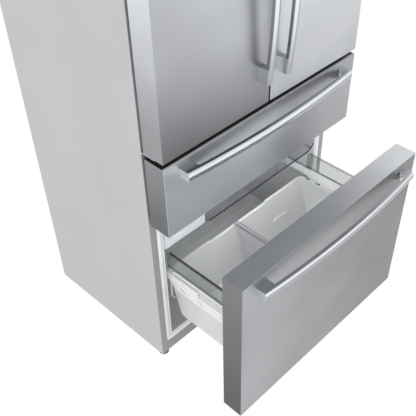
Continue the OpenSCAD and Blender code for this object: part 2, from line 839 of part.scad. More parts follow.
module bin_divider() color(clear) drawer_out()
    box([divider_x - divider_t / 2, rear_y + bin_t + touch, bin_low + bin_t + touch],
        [divider_x + divider_t / 2, rear_y + bin_d - bin_t - touch, bin_rim + divider_over]);

module freezer_side_panels() color(clear) drawer_out() both_sides()
    box([frame_in, rear_y, frame_top], [frame_in + panel_t, rear_y + frame_len + hook_len, panel_top]);

module chiller_bin() color(clear) placed() {
    tub([-bin_w / 2, rear_y, chiller_bin_z], [bin_w / 2, rear_y + chiller_bin_d, chiller_bin_top], bin_t);
    both_sides() box([bin_w / 2, rear_y, chiller_frame_top],
                     [frame_out, rear_y + chiller_slide_len - hook_len, chiller_frame_top + lip_h]);
}

// Fronts: a folded steel skin, foam and a plastic inner liner
module front_plan(x0, x1, y0, y1, r) {
    translate([x0 + r, y0]) square([x1 - x0 - 2 * r, y1 - y0]);
    translate([x0, y0 + r]) square([x1 - x0, y1 - y0 - r]);
    translate([x0 + r, y0 + r]) circle(r);
    translate([x1 - r, y0 + r]) circle(r);
}

module front_block(x0, x1, z0, z1, t, y1)
    translate([0, 0, z0 + t]) linear_extrude(z1 - z0 - 2 * t)
        front_plan(x0 + t, x1 - t, front_y + t, y1, edge_r - t);

module front_skin(x0, x1, z0, z1) difference() {
    front_block(x0, x1, z0, z1, 0, rear_y);
    front_block(x0, x1, z0, z1, skin_t, rear_y + over);
}

module front_foam(x0, x1, z0, z1) front_block(x0, x1, z0, z1, skin_t, rear_y - back_liner_t);

module front_liner(x0, x1, z0, z1)
    box([x0 + skin_t, rear_y - back_liner_t, z0 + skin_t], [x1 - skin_t, rear_y, z1 - skin_t]);

module gasket(x0, x1, z0, z1) difference() {
    box([x0, rear_y, z0], [x1, -seal_gap, z1]);
    box([x0 + seal_w, rear_y - over, z0 + seal_w], [x1 - seal_w, over, z1 - seal_w]);
}

// A bowed bar along X whose ends stand on the face y = 0, reaching out towards -Y
module handle(len, h) {
    r = (len * len / 4 + bar_bow * bar_bow) / (2 * bar_bow); // of the bar's back at its edges
    half = asin(len / 2 / r);
    post = asin((len / 2 - post_len) / r);
    crown_r = (h * h / 4 + bar_crown * bar_crown) / (2 * bar_crown);
    back = bar_stand - bar_t + bar_bow; // the bar's back at its middle
    translate([0, -back + r, 0]) intersection() {
        union() {
            rotate([0, 0, -90 - half]) rotate_extrude(angle = 2 * half) bar_section(r, h, crown_r, 0);
            rotate([0, 0, -90 - half]) rotate_extrude(angle = half - post)
                bar_section(r, h, crown_r, back);
            rotate([0, 0, -90 + post]) rotate_extrude(angle = half - post)
                bar_section(r, h, crown_r, back);
        }
        box([-len, -r - 2 * handle_reach, -h], [len, back - r, h]);
    }
}

module bar_section(r, h, crown_r, deep) {
    translate([r - deep, -h / 2]) square([bar_t + deep, h]);
    intersection() {
        translate([r + bar_t + bar_crown - crown_r, 0]) circle(crown_r);
        translate([r + bar_t / 2, -h / 2]) square([bar_t, h]);
    }
}

// Freezer front
module freezer_door_skin() color(steel) drawer_out()
    front_skin(-outer_edge, outer_edge, freezer_front_z, freezer_front_top);

module freezer_door_foam() color(foam_cream) drawer_out()
    front_foam(-outer_edge, outer_edge, freezer_front_z, freezer_front_top);

module freezer_door_liner() color(pale) drawer_out()
    front_liner(-outer_edge, outer_edge, freezer_front_z, freezer_front_top);

module freezer_door_gasket() color(seal_grey) drawer_out()
    gasket(-pin_x, pin_x, freezer_seal_z, freezer_front_top - seal_lap);

module freezer_door_handle() color(bright) drawer_out()
    translate([0, front_y, freezer_front_top - freezer_bar_drop]) handle(cab_w - 2 * bar_inset, bar_h);

// Chiller front
module chiller_door_skin() color(steel) placed()
    front_skin(-outer_edge, outer_edge, chiller_front_z, chiller_front_top);

module chiller_door_foam() color(foam_cream) placed()
    front_foam(-outer_edge, outer_edge, chiller_front_z, chiller_front_top);

module chiller_door_liner() color(pale) placed()
    front_liner(-outer_edge, outer_edge, chiller_front_z, chiller_front_top);

module chiller_door_gasket() color(seal_grey) placed()
    gasket(-pin_x, pin_x, chiller_front_z + seal_lap, chiller_front_top - seal_lap);

module chiller_door_handle() color(bright) placed()
    translate([0, front_y, chiller_front_top - chiller_bar_drop]) handle(cab_w - 2 * bar_inset, bar_h);

// Upper doors, drawn on the right and mirrored for the left
module pin_bores() translate([pin_x, -pin_front, 0]) {
    rod_z(door_z - over, door_z + pin_len + over, pin_r + run);
    rod_z(door_top - pin_len - over, door_top + over, pin_r + run);
}

module door_skin() difference() {
    front_skin(inner_edge, outer_edge, door_z, door_top);
    pin_bores();
}

module door_foam() difference() {
    front_foam(inner_edge, outer_edge, door_z, door_top);
    pin_bores();
}

module door_liner() {
    low = inner_low + dike_end;
    high = fridge_top - dike_end;
    front_liner(inner_edge, outer_edge, door_z, door_top);
    difference() {
        box([dike_in, rear_y, low], [dike_out, dike_top, high]);
        box([dike_in + dike_w, rear_y - over, low + dike_w],
            [dike_out - dike_w, dike_top + over, high - dike_w]);
    }
}

module door_gasket() gasket(inner_edge + seal_edge, pin_x, door_z + seal_lap, door_top - seal_lap);

module door_handle() translate([inner_edge + grip_inset, front_y, (door_z + door_top) / 2])
    rotate([0, 90, 0]) handle(grip_len, grip_w);

module door_bins() for (share = door_bin_shares) {
    z = door_z + share * door_h;
    tub([dike_in + dike_w + touch, door_bin_y, z],
        [dike_out - dike_w - touch, door_bin_y + door_bin_d, z + door_bin_h], bin_t);
}

module left_door_skin() color(steel) placed() mirror([1, 0, 0]) door_skin();

module left_door_foam() color(foam_cream) placed() mirror([1, 0, 0]) door_foam();

module left_door_liner() color(pale) placed() {
    mirror([1, 0, 0]) door_liner();
    for (z = [low_lug_z, fridge_top - lug_end - lug_h]) difference() {
        box([flap_x - lug_w / 2, rear_y, z], [flap_x + lug_w / 2, flap_y + lug_w / 2, z + lug_h]);
        translate([flap_x, flap_y, 0]) rod_z(z - over, z + lug_h + over, flap_pin_r + run);
    }
}

module left_door_gasket() color(seal_grey) placed() mirror([1, 0, 0]) door_gasket();

module left_door_handle() color(bright) placed() mirror([1, 0, 0]) door_handle();

module left_door_bins() color(clear) placed() mirror([1, 0, 0]) door_bins();

module right_door_skin() color(steel) placed() door_skin();

module right_door_foam() color(foam_cream) placed() door_foam();

module right_door_liner() color(pale) placed() door_liner();

module right_door_gasket() color(seal_grey) placed() door_gasket();

module right_door_handle() color(bright) placed() door_handle();

module right_door_bins() color(clear) placed() door_bins();

// The flap is drawn folded back, pointing into the compartment
module door_flap() color(pale) placed() translate([flap_x, flap_y, 0]) {
    box([-flap_t / 2, 0, flap_z], [flap_t / 2, flap_len, flap_top]);
    rod_z(flap_z, flap_top, flap_t / 2);
    rod_z(flap_z - flap_pin_len, flap_top + flap_pin_len, flap_pin_r);
}

outer_case();
back_panel();
base_pan();
cabinet_foam();
fridge_liner();
chiller_liner();
freezer_liner();
front_crossbars();
toe_plinth();
levelling_feet();
machine_cover();
compressor();
condenser();
water_valve();
door_hinges();
hinge_covers();
air_ducts();
shelves();
evaporator();
ice_maker();
fixed_rails();
roller_left();
roller_right();
condenser_fan();
evaporator_fan();
crisper_left();
crisper_right();
ice_bin();
upper_tray();
freezer_rails_mid();
chiller_rails_mid();
freezer_door_skin();
freezer_door_foam();
freezer_door_liner();
freezer_door_gasket();
freezer_door_handle();
freezer_rails_moving();
freezer_bin();
bin_divider();
freezer_side_panels();
chiller_door_skin();
chiller_door_foam();
chiller_door_liner();
chiller_door_gasket();
chiller_door_handle();
chiller_rails_moving();
chiller_bin();
left_door_skin();
left_door_foam();
left_door_liner();
left_door_gasket();
left_door_handle();
left_door_bins();
right_door_skin();
right_door_foam();
right_door_liner();
right_door_gasket();
right_door_handle();
right_door_bins();
door_flap();
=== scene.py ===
"""Looks of a four door bottom freezer refrigerator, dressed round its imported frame."""
import json
import math

import bmesh
import bpy
from mathutils import Matrix, Vector

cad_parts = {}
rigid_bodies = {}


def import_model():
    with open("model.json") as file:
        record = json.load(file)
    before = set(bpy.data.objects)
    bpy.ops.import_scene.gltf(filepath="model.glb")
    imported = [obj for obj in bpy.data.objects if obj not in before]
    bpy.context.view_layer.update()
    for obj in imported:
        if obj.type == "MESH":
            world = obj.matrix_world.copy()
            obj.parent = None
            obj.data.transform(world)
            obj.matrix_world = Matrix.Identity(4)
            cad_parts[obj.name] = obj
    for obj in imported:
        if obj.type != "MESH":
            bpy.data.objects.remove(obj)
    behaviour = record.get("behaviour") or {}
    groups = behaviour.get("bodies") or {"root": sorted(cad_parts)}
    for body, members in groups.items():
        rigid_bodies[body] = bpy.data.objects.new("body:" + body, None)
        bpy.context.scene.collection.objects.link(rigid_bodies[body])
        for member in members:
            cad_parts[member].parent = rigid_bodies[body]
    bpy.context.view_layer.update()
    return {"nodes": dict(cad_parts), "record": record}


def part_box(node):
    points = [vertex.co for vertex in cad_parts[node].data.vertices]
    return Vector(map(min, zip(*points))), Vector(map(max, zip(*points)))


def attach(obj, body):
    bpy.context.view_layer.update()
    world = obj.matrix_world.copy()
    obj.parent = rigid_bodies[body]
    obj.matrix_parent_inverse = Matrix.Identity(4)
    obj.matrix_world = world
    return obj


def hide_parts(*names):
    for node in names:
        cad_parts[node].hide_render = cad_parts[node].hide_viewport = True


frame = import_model()
MM = 0.001
NEAR = 1e-6  # metres within which two places are one


# Places taken from the frame

CASE_LO, CASE_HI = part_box("outer_case")
FRONT_Y = CASE_LO.y
HALF_W = CASE_HI.x
FREEZER_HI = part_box("freezer_door_skin")[1]
CHILLER_LO, CHILLER_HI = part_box("chiller_door_skin")


def at(x, y, z):
    """A place given in mm from the middle of the cabinet's front, on the floor."""
    return Vector((x * MM, FRONT_Y + y * MM, z * MM))


# Camera, at the photograph's view

PHOTO_PX = 416
FOCAL_PX = 703.3
AXIS_PX = (232.3, 237.2)  # where the lens axis meets the photograph
CAMERA_PLACE = (-1453.4, -1301.1, 2172.9)  # mm from the middle of the cabinet's front
CAMERA_YAW = 0.816
CAMERA_PITCH = 0.762
SENSOR = 36.0


def make_camera():
    """The camera of the photograph, whose lens axis lies off the middle of the picture."""
    data = bpy.data.cameras.new("photo_camera")
    data.sensor_width = SENSOR
    data.lens = FOCAL_PX * SENSOR / PHOTO_PX
    data.shift_x = (PHOTO_PX / 2 - AXIS_PX[0]) / PHOTO_PX
    data.shift_y = (AXIS_PX[1] - PHOTO_PX / 2) / PHOTO_PX
    data.clip_end = 30.0
    camera = bpy.data.objects.new("photo_camera", data)
    bpy.context.scene.collection.objects.link(camera)
    camera.location = at(*CAMERA_PLACE)
    camera.rotation_euler = (math.pi / 2 - CAMERA_PITCH, 0, -CAMERA_YAW)
    bpy.context.scene.camera = camera


make_camera()


# How the materials are made

def linear(hex_colour):
    """An sRGB hex colour as linear RGBA."""
    parts = [int(hex_colour[i:i + 2], 16) / 255 for i in (1, 3, 5)]
    return [c / 12.92 if c <= 0.04045 else ((c + 0.055) / 1.055) ** 2.4 for c in parts] + [1.0]


def add(tree, kind, values=None, links=None, **settings):
    """A node with its settings, its input values and the sockets that feed it."""
    made = tree.nodes.new(kind)
    for key, value in settings.items():
        setattr(made, key, value)
    for key, value in (values or {}).items():
        made.inputs[key].default_value = value
    for key, socket in (links or {}).items():
        tree.links.new(socket, made.inputs[key])
    return made


def start_material(name, grains=()):
    """A material, its tree, its shader and the height of each of its grains.

    A grain is (its size in mm along X, Y and Z, its detail, how rough that detail is)."""
    material = bpy.data.materials.new(name)
    material.use_nodes = True
    tree = material.node_tree
    heights = []
    for size_mm, detail, rough in grains:
        place = add(tree, "ShaderNodeTexCoord")
        scaled = add(tree, "ShaderNodeVectorMath", {1: [1000.0 / side for side in size_mm]},
                     {0: place.outputs["Object"]}, operation="MULTIPLY")
        grain = add(tree, "ShaderNodeTexNoise",
                    {"Scale": 1.0, "Detail": detail, "Roughness": rough},
                    {"Vector": scaled.outputs[0]})
        heights.append(grain.outputs["Fac"])
    return material, tree, tree.nodes["Principled BSDF"], heights


GRAIN_LOW, GRAIN_HIGH = 0.3, 0.7  # the middle half of a grain's heights
SHEET_CLOUD = (260.0, 260.0, 180.0)  # mm over which a rolled sheet's tone drifts
PAINT_CLOUD = (220.0, 220.0, 220.0)
CLEAR_RIPPLE = (60.0, 60.0, 60.0)
LINES_SHARE = 0.4  # how much the hair lines weigh in a sheet's tone, beside its slow drift
LINES_LOW, LINES_HIGH = 0.45, 0.95
LINES_DEPTH = 0.004
PLASTIC_IOR = 1.5


def brushed(name, grain_mm, light, dark, roughness, painted_light_fades=()):
    """Stainless steel from the belt: long hair lines, which draw each reflection out across them.

    Each of fades is (axis, place, level, place, level): a gradient of painted shade and highlight
    along that axis."""
    material, tree, shader, (lines, cloud) = start_material(
        name, ((grain_mm, 4.0, 0.65), (SHEET_CLOUD, 1.0, 0.5)))
    shader.inputs["Metallic"].default_value = 1.0
    shader.inputs["Anisotropic"].default_value = 0.15
    tone = add(tree, "ShaderNodeMath", {1: LINES_SHARE}, {0: lines, 2: cloud},
               operation="MULTIPLY_ADD")
    spread = add(tree, "ShaderNodeMapRange", {"From Min": LINES_LOW, "From Max": LINES_HIGH},
                 {"Value": tone.outputs[0]})
    mix = add(tree, "ShaderNodeMix", {6: linear(dark), 7: linear(light)}, {0: spread.outputs[0]},
              data_type="RGBA")
    colour = mix.outputs[2]
    # Each fade multiplies the colour by a gradient of painted shade and highlight.
    for axis, low, low_level, high, high_level in painted_light_fades:
        place = add(tree, "ShaderNodeTexCoord")
        parts = add(tree, "ShaderNodeSeparateXYZ", links={0: place.outputs["Object"]})
        painted_level = add(tree, "ShaderNodeMapRange",
                    {"From Min": low, "To Min": low_level, "From Max": high, "To Max": high_level},
                    {"Value": parts.outputs[axis]}, interpolation_type="SMOOTHSTEP")
        faded = add(tree, "ShaderNodeVectorMath", links={0: colour, 1: painted_level.outputs[0]},
                    operation="MULTIPLY")
        colour = faded.outputs[0]
    tree.links.new(colour, shader.inputs["Base Color"])
    sheen = add(tree, "ShaderNodeMapRange",
                {"From Min": GRAIN_LOW, "From Max": GRAIN_HIGH,
                 "To Min": roughness - 0.02, "To Max": roughness + 0.02}, {"Value": lines})
    tree.links.new(sheen.outputs[0], shader.inputs["Roughness"])
    relief = add(tree, "ShaderNodeBump", {"Strength": 0.2, "Distance": LINES_DEPTH * MM},
                 {"Height": lines})
    tree.links.new(relief.outputs[0], shader.inputs["Normal"])
    return material


def painted(name, light, dark, roughness, peel_mm=1.2, depth_mm=0.02, metallic=0.0):
    """Sprayed or plated steel: an even colour with a fine orange peel in its gloss."""
    material, tree, shader, (peel, cloud) = start_material(
        name, (((peel_mm,) * 3, 2.0, 0.5), (PAINT_CLOUD, 2.0, 0.5)))
    shader.inputs["Metallic"].default_value = metallic
    spread = add(tree, "ShaderNodeMapRange",
                 {"From Min": GRAIN_LOW, "From Max": GRAIN_HIGH}, {"Value": cloud})
    mix = add(tree, "ShaderNodeMix", {6: linear(dark), 7: linear(light)}, {0: spread.outputs[0]},
              data_type="RGBA")
    tree.links.new(mix.outputs[2], shader.inputs["Base Color"])
    sheen = add(tree, "ShaderNodeMapRange",
                {"From Min": GRAIN_LOW, "From Max": GRAIN_HIGH,
                 "To Min": roughness - 0.05, "To Max": roughness + 0.05}, {"Value": peel})
    tree.links.new(sheen.outputs[0], shader.inputs["Roughness"])
    relief = add(tree, "ShaderNodeBump", {"Strength": 0.6, "Distance": depth_mm * MM},
                 {"Height": peel})
    tree.links.new(relief.outputs[0], shader.inputs["Normal"])
    return material


def moulded(name, light, dark, roughness, grain_mm=0.8, depth_mm=0.01, glow=0.0):
    """Moulded plastic: a satin skin with a faint spark eroded grain.

    glow is the share of light that passes through a thin milky wall."""
    material = painted(name, light, dark, roughness, grain_mm, depth_mm)
    tree = material.node_tree
    shader = tree.nodes["Principled BSDF"]
    shader.inputs["IOR"].default_value = PLASTIC_IOR
    if glow > 0:
        through = add(tree, "ShaderNodeBsdfTranslucent", {"Color": linear(light)})
        blend = add(tree, "ShaderNodeMixShader", {0: glow},
                    {1: shader.outputs[0], 2: through.outputs[0]})
        tree.links.new(blend.outputs[0], tree.nodes["Material Output"].inputs["Surface"])
    return material


def clear(name, tint, edge, roughness, solid, mirror=0.4):
    """Clear styrene or glass, which lets light through with a faint tint and mirrors at a slant.

    solid is the share that shows as a milky body, and mirror the share at a slant."""
    material, tree, shader, (ripple,) = start_material(name, ((CLEAR_RIPPLE, 1.0, 0.5),))
    shader.inputs["Base Color"].default_value = linear(edge)
    shader.inputs["IOR"].default_value = PLASTIC_IOR
    sheen = add(tree, "ShaderNodeMapRange",
                {"From Min": GRAIN_LOW, "From Max": GRAIN_HIGH,
                 "To Min": roughness, "To Max": roughness + 0.04}, {"Value": ripple})
    tree.links.new(sheen.outputs[0], shader.inputs["Roughness"])
    see = add(tree, "ShaderNodeBsdfTransparent", {"Color": linear(tint)})
    slant = add(tree, "ShaderNodeLayerWeight", {"Blend": 0.35})
    share = add(tree, "ShaderNodeMapRange", {"To Min": solid, "To Max": mirror},
                {"Value": slant.outputs["Fresnel"]})
    blend = add(tree, "ShaderNodeMixShader",
                links={0: share.outputs[0], 1: see.outputs[0], 2: shader.outputs[0]})
    tree.links.new(blend.outputs[0], tree.nodes["Material Output"].inputs["Surface"])
    return material


# Stainless steels

HAIRLINE = 0.9  # real hair lines are about 0.1 mm apart, drawn coarser so that they show
FACE_GRAIN = (90.0, 90.0, HAIRLINE)
BAR_GRAIN = (60.0, HAIRLINE, HAIRLINE)
GRIP_GRAIN = (HAIRLINE, HAIRLINE, 60.0)
SHEET_LIGHT = "#b4b6b9"
SHEET_DARK = "#a8aaad"
SHEET_ROUGH = 0.36
BAR_LIGHT = "#acaeb1"
BAR_DARK = "#a6a8ab"

# Ferritic sheet brushed level from side to side: calm grey, with each light smeared up and down.
STAINLESS = brushed("brushed_stainless_430", FACE_GRAIN, SHEET_LIGHT, SHEET_DARK, SHEET_ROUGH)
# Bar brushed along its length and nearly polished: one crisp bright line that follows its bow.
BAR_STEEL = brushed("satin_stainless_bar", BAR_GRAIN, BAR_LIGHT, BAR_DARK, 0.17)
# The same bar stood upright, so its hair lines run up it.
GRIP_STEEL = brushed("satin_stainless_grip", GRIP_GRAIN, BAR_LIGHT, BAR_DARK, 0.17)
# The sawn and brushed ends of a bar: duller than its face, and drawn near white as painted light,
# for how pale they look where they catch the dome.
POST_END_PAINTED_LIGHT = brushed("satin_stainless_post", BAR_GRAIN, "#eceef0", "#e6e8ea", 0.3)
# The tops of the posts, which grow lighter from left to right: painted shade and highlight.
POST_TOP_PAINTED_LIGHT = brushed("satin_stainless_post_top_painted_light", BAR_GRAIN, BAR_LIGHT, BAR_DARK, 0.3,
                         (("X", -0.1, 0.72, 0.39, 1.7),))
# The inside of the posts in a pale matt grey as painted light, which the front mirrors as an even
# grey.
FLANK_PAINTED_LIGHT = painted("post_flank_painted_light", "#dcdee0", "#d4d6d8", 0.5)


# Coated and plain metals

# Coil coated sheet: an even light grey whose low gloss hides the roller's peel.
SIDE_PAINT = painted("light_grey_enamel_steel", "#acadaf", "#a8a9ab", 0.42)
# The same coat on the turned in flange, a shade deeper as painted shade.
FLANGE_SHADE_PAINT = painted("grey_enamel_front_flange_painted_shade", "#8b8c8e", "#87888a", 0.42)
# Hot dip zinc: broad soft spangles, about 14 mm across, in a dull mirror.
GALVANISED = painted("galvanised_steel", "#a9adb0", "#a0a4a7", 0.38, 14.0, 0.01, metallic=0.9)
# Electroplated zinc: bright and slightly blue, with a faint waviness.
ZINC = painted("zinc_plated_steel", "#c9ccd0", "#bcc0c4", 0.25, 5.0, 0.005, metallic=1.0)
# Dipped black enamel: a deep colour with a soft highlight.
BLACK_ENAMEL = painted("black_enamel_steel", "#1b1c1e", "#131415", 0.35)
# Aluminium as it leaves the rolls: pale, with a fine milled haze.
ALUMINIUM = painted("mill_finish_aluminium", "#c4c6c8", "#b2b4b6", 0.35, 3.0, 0.01, metallic=1.0)
# Powder coat on the slides: clean white with a satin edge.
SLIDE_COAT = painted("white_coated_slide_steel", "#dcddde", "#d6d7d8", 0.35)
# Drawn copper tube: warm and half bright.
COPPER = painted("drawn_copper_tube", "#c07a52", "#a8663f", 0.3, 2.0, 0.005, metallic=1.0)
# The folded edge of the chiller's front in matt grey: a painted highlight for the light line along
# that edge.
FOLD_PAINTED_HIGHLIGHT = painted("chiller_fold_painted_highlight", "#a4a6a8", "#9c9ea0", 0.6)


# Plastics. A spark eroded grain is about 0.1 mm, drawn at 0.8 mm so that it shows.

# Vacuum formed high impact styrene: smooth cold white, stretched thin over its form.
LINER_ABS = moulded("white_hips_liner", "#dfe0e0", "#d9dada", 0.3)
# The freezer's liner in grey: painted shade on the white liner, which keeps the room quiet behind
# the bin.
FREEZER_ROOM_SHADE = moulded("freezer_liner_painted_shade", "#b4b6b7", "#abadae", 0.35)
# The freezer's floor, light grey as painted shade on the white liner, and a grey band along the
# lips.
FLOOR_SHADE_AND_LIP_GREY = moulded("freezer_floor_shade_and_lip_band", "#c2c4c5", "#babcbd", 0.35)
# Injection moulded, thin enough to let a little light through.
ICE_ABS = moulded("bright_white_abs", "#dee0e2", "#dadcde", 0.3, glow=0.12)
# Injection moulded structural white, opaque.
WHITE_ABS = moulded("white_abs", "#dcddde", "#d6d7d8", 0.32)
# Natural polypropylene: milky walls that glow where light falls on their far side.
BIN_PP = moulded("milky_polypropylene", "#e4e5e5", "#dfe0e0", 0.4, glow=0.33)
# Textured grey mouldings at the foot and the back, which take no highlight.
PLINTH_ABS = moulded("grey_abs_plinth", "#8c8e90", "#868889", 0.45)
COVER_ABS = moulded("grey_abs_cover", "#a4a6a8", "#9b9da0", 0.45)
# Black mouldings, and dark lines painted as the shade that thin gaps and edges make.
BLACK_PP_AND_PAINTED_SHADE = moulded("black_polypropylene_and_painted_shade", "#222325", "#1a1b1d", 0.5)
DARK_GREY_ABS_AND_SHADE_LINES = moulded("dark_grey_abs_and_painted_shade_lines", "#5c5e60", "#555759", 0.5)
# Plasticised gasket profile: soft, matt and faintly warm.
SEAL_PVC = moulded("grey_soft_pvc", "#a6a8a9", "#9c9e9f", 0.6)
# Foamed in place: a straw colour with open cells about 3 mm across where it shows.
FOAM_PU = moulded("rigid_polyurethane_foam", "#e0d3ab", "#d2c497", 0.9, 3.0, 0.4)
# Injection moulded styrene: clear, with grey edges.
CLEAR_PS = clear("clear_polystyrene", "#e9eaea", "#b9babb", 0.05, 0.05, 0.16)
# The tray's and divider's thinner walls, which show little but their edges.
THIN_PS = clear("clear_polystyrene_tub", "#f7f7f8", "#c4c6c8", 0.05, 0.01, 0.04)
# Toughened float glass: flat and clear, with a green tint.
GLASS = clear("tempered_shelf_glass", "#f1f6f4", "#c6d6cf", 0.0, 0.05)

SLOT_MATERIALS = {
    "stainless": STAINLESS, "handle_metal": BAR_STEEL, "side_metal": SIDE_PAINT,
    "galvanised": GALVANISED, "black_metal": BLACK_ENAMEL, "hinge_metal": ZINC,
    "zinc_steel": ZINC, "bare_aluminium": ALUMINIUM, "liner_plastic": LINER_ABS,
    "white_plastic": WHITE_ABS, "bin_plastic": BIN_PP, "clear_plastic": CLEAR_PS,
    "plinth_plastic": PLINTH_ABS, "cover_plastic": COVER_ABS, "foot_plastic": BLACK_PP_AND_PAINTED_SHADE,
    "roller_plastic": BLACK_PP_AND_PAINTED_SHADE, "seal": SEAL_PVC, "shelf_glass": GLASS, "foam": FOAM_PU,
}
NODE_SLOT = {part["node"]: part["material_slot"] for part in frame["record"]["subparts"]}
for node_name, shown in frame["nodes"].items():
    shown.data.materials.clear()
    shown.data.materials.append(SLOT_MATERIALS[NODE_SLOT[node_name]])


# Mesh helpers

SHARP = math.radians(32)


def finish_mesh(name, bm, body, material, replaces=(), inward=False):
    """Turns a bmesh into a piece that rides on a body, smooth except at its sharp edges."""
    bmesh.ops.remove_doubles(bm, verts=bm.verts, dist=NEAR)
    bmesh.ops.recalc_face_normals(bm, faces=bm.faces)
    if inward:
        bmesh.ops.reverse_faces(bm, faces=bm.faces)
    for edge in bm.edges:
        edge.smooth = edge.calc_face_angle(0.0) < SHARP
    for face in bm.faces:
        face.smooth = True
    mesh = bpy.data.meshes.new(name)
    bm.to_mesh(mesh)
    bm.free()
    mesh.materials.append(material)
    piece = bpy.data.objects.new(name, mesh)
    bpy.context.scene.collection.objects.link(piece)
    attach(piece, body)
    if replaces:
        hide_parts(*replaces)
    return piece


def round_edges(bm, edges, radius, steps):
    """Rounds edges to a radius."""
    bmesh.ops.bevel(bm, geom=edges, offset=radius, segments=steps, profile=0.5, affect="EDGES",
                    clamp_overlap=True)


def cut_across(bm, place, normal):
    """Cuts the faces that cross a plane, and keeps both sides."""
    bmesh.ops.bisect_plane(bm, geom=bm.verts[:] + bm.edges[:] + bm.faces[:], plane_co=place,
                           plane_no=normal)


def add_box(bm, lo, hi, radius=0.0, steps=2):
    """A box with rounded edges."""
    lo, hi = Vector(lo), Vector(hi)
    made = bmesh.ops.create_cube(bm, size=1.0)["verts"]
    for vert in made:
        vert.co = Vector([(lo[i] + hi[i]) / 2 + vert.co[i] * (hi[i] - lo[i]) for i in range(3)])
    if radius > 0:
        edges = {e for v in made for e in v.link_edges}
        round_edges(bm, sorted(edges, key=lambda e: e.index), radius, steps)


SOFT_R = 1 * MM  # the edge radius of small moulded forms
FINE_R = 0.2 * MM  # the edge radius of thin lines
SINK = 1 * MM  # how far a form reaches into what it stands on


def add_pair(bm, x, y, z, radius=0.0):
    """A rounded box right of the middle and its mirror on the left. x, y and z are (low, high)."""
    for side in (-1, 1):
        x0, x1 = sorted((side * x[0], side * x[1]))
        add_box(bm, (x0, y[0], z[0]), (x1, y[1], z[1]), radius)


def loft(bm, loops, ring=False):
    """Skins closed loops that have one vertex count. ring joins the last to the first."""
    rows = [[bm.verts.new(p) for p in loop] for loop in loops]
    count = len(rows[0])
    pairs = list(zip(rows, rows[1:])) + ([(rows[-1], rows[0])] if ring else [])
    for a, b in pairs:
        for i in range(count):
            j = (i + 1) % count
            bm.faces.new((a[i], a[j], b[j], b[i]))
    if not ring:
        bm.faces.new(rows[0])
        bm.faces.new(list(reversed(rows[-1])))


CORNER_STEPS = 5
LEAST_R = 0.2 * MM  # the smallest radius that a drawn in corner keeps


def round_rect(lo, hi, radius, cuts=()):
    """Points round a rectangle with rounded corners, as (u, v) pairs.

    cuts are places along u at which both long edges get a point of their own."""
    points = []
    spots = ((hi[0], hi[1], 0), (lo[0], hi[1], 1), (lo[0], lo[1], 2), (hi[0], lo[1], 3))
    for x, y, turn in spots:
        cx = x - math.copysign(radius, x - (lo[0] + hi[0]) / 2)
        cy = y - math.copysign(radius, y - (lo[1] + hi[1]) / 2)
        for k in range(CORNER_STEPS + 1):
            angle = (turn + k / CORNER_STEPS) * math.pi / 2
            points.append((cx + radius * math.cos(angle), cy + radius * math.sin(angle)))
        if turn == 0:
            points += [(u, y) for u in sorted(cuts, reverse=True)]
        elif turn == 2:
            points += [(u, y) for u in sorted(cuts)]
    return points


def level_loop(lo, hi, z, inset, radius, cuts=(), dip=None):
    """A rounded rectangle at height z, drawn in by inset from the box lo to hi.

    dip(x, y) says how far below z the loop runs at a place."""
    a = (lo[0] + inset, lo[1] + inset)
    b = (hi[0] - inset, hi[1] - inset)
    points = round_rect(a, b, max(radius - inset, LEAST_R), cuts=cuts)
    return [(x, y, z - (dip(x, y) if dip else 0.0)) for x, y in points]


def upright_loop(lo, hi, y, inset, radius):
    """A rounded rectangle in the plane across Y, drawn in by inset."""
    a = (lo[0] + inset, lo[2] + inset)
    b = (hi[0] - inset, hi[2] - inset)
    return [(x, y, z) for x, z in round_rect(a, b, max(radius - inset, LEAST_R))]


def add_tub(bm, lo, hi, wall, radius, draft, rim, rim_h, cuts=(), dip=None, lean=0.0, shelf=0.0):
    """An open topped moulded bin with rounded corners, tapered walls and an outward rim.

    lean is how far its rear wall slants forward, and shelf how much wider the rim is there."""
    z0, z1 = lo[2], hi[2]
    soft = min(radius * 0.6, (z1 - z0) / 4)  # the rounding of its floor's edge
    edge = wall * 0.3
    top_in = rim + wall

    def low(z, inset):
        back = shelf + lean * (1 - (z - z0) / (z1 - z0))
        return level_loop(lo, (hi[0], hi[1] - back), z, inset, radius, cuts)

    def high(z, inset, back=0.0):
        return level_loop(lo, (hi[0], hi[1] - back), z, inset, radius, cuts, dip)

    outside = [low(z0, draft + soft), low(z0 + 0.3 * soft, draft + 0.3 * soft),
               low(z0 + soft, draft), high(z1 - rim_h, rim, shelf), high(z1 - rim_h, 0),
               high(z1 - edge, 0), high(z1, edge)]
    inside = [high(z1, top_in - edge, shelf), high(z1 - edge, top_in, shelf),
              low(z0 + soft + wall, draft + wall),
              low(z0 + wall + 0.3 * soft, draft + wall + 0.3 * soft),
              low(z0 + wall, draft + wall + soft)]
    loft(bm, outside + inside)


def add_ring(bm, lo, hi, profile, radius):
    """A moulded frame round a rectangle across Y. profile is (inset, y) points, closed."""
    loft(bm, [upright_loop(lo, hi, y, inset, radius) for inset, y in profile], ring=True)


def add_rod(bm, start, end, radius, sides):
    """A round bar between two points."""
    start, end = Vector(start), Vector(end)
    turn = (end - start).to_track_quat("Z", "Y").to_matrix().to_4x4()
    place = Matrix.Translation((start + end) / 2) @ turn
    bmesh.ops.create_cone(bm, cap_ends=True, segments=sides, radius1=radius, radius2=radius,
                          depth=(end - start).length, matrix=place)


def round_loop(centre, radius, sides, axis, height):
    """A circle round an axis through centre, moved along it by height."""
    loop = []
    for k in range(sides):
        angle = 2 * math.pi * k / sides
        u, v = radius * math.cos(angle), radius * math.sin(angle)
        offset = {"X": (height, u, v), "Y": (v, height, u), "Z": (u, v, height)}[axis]
        loop.append(tuple(centre[i] + offset[i] for i in range(3)))
    return loop


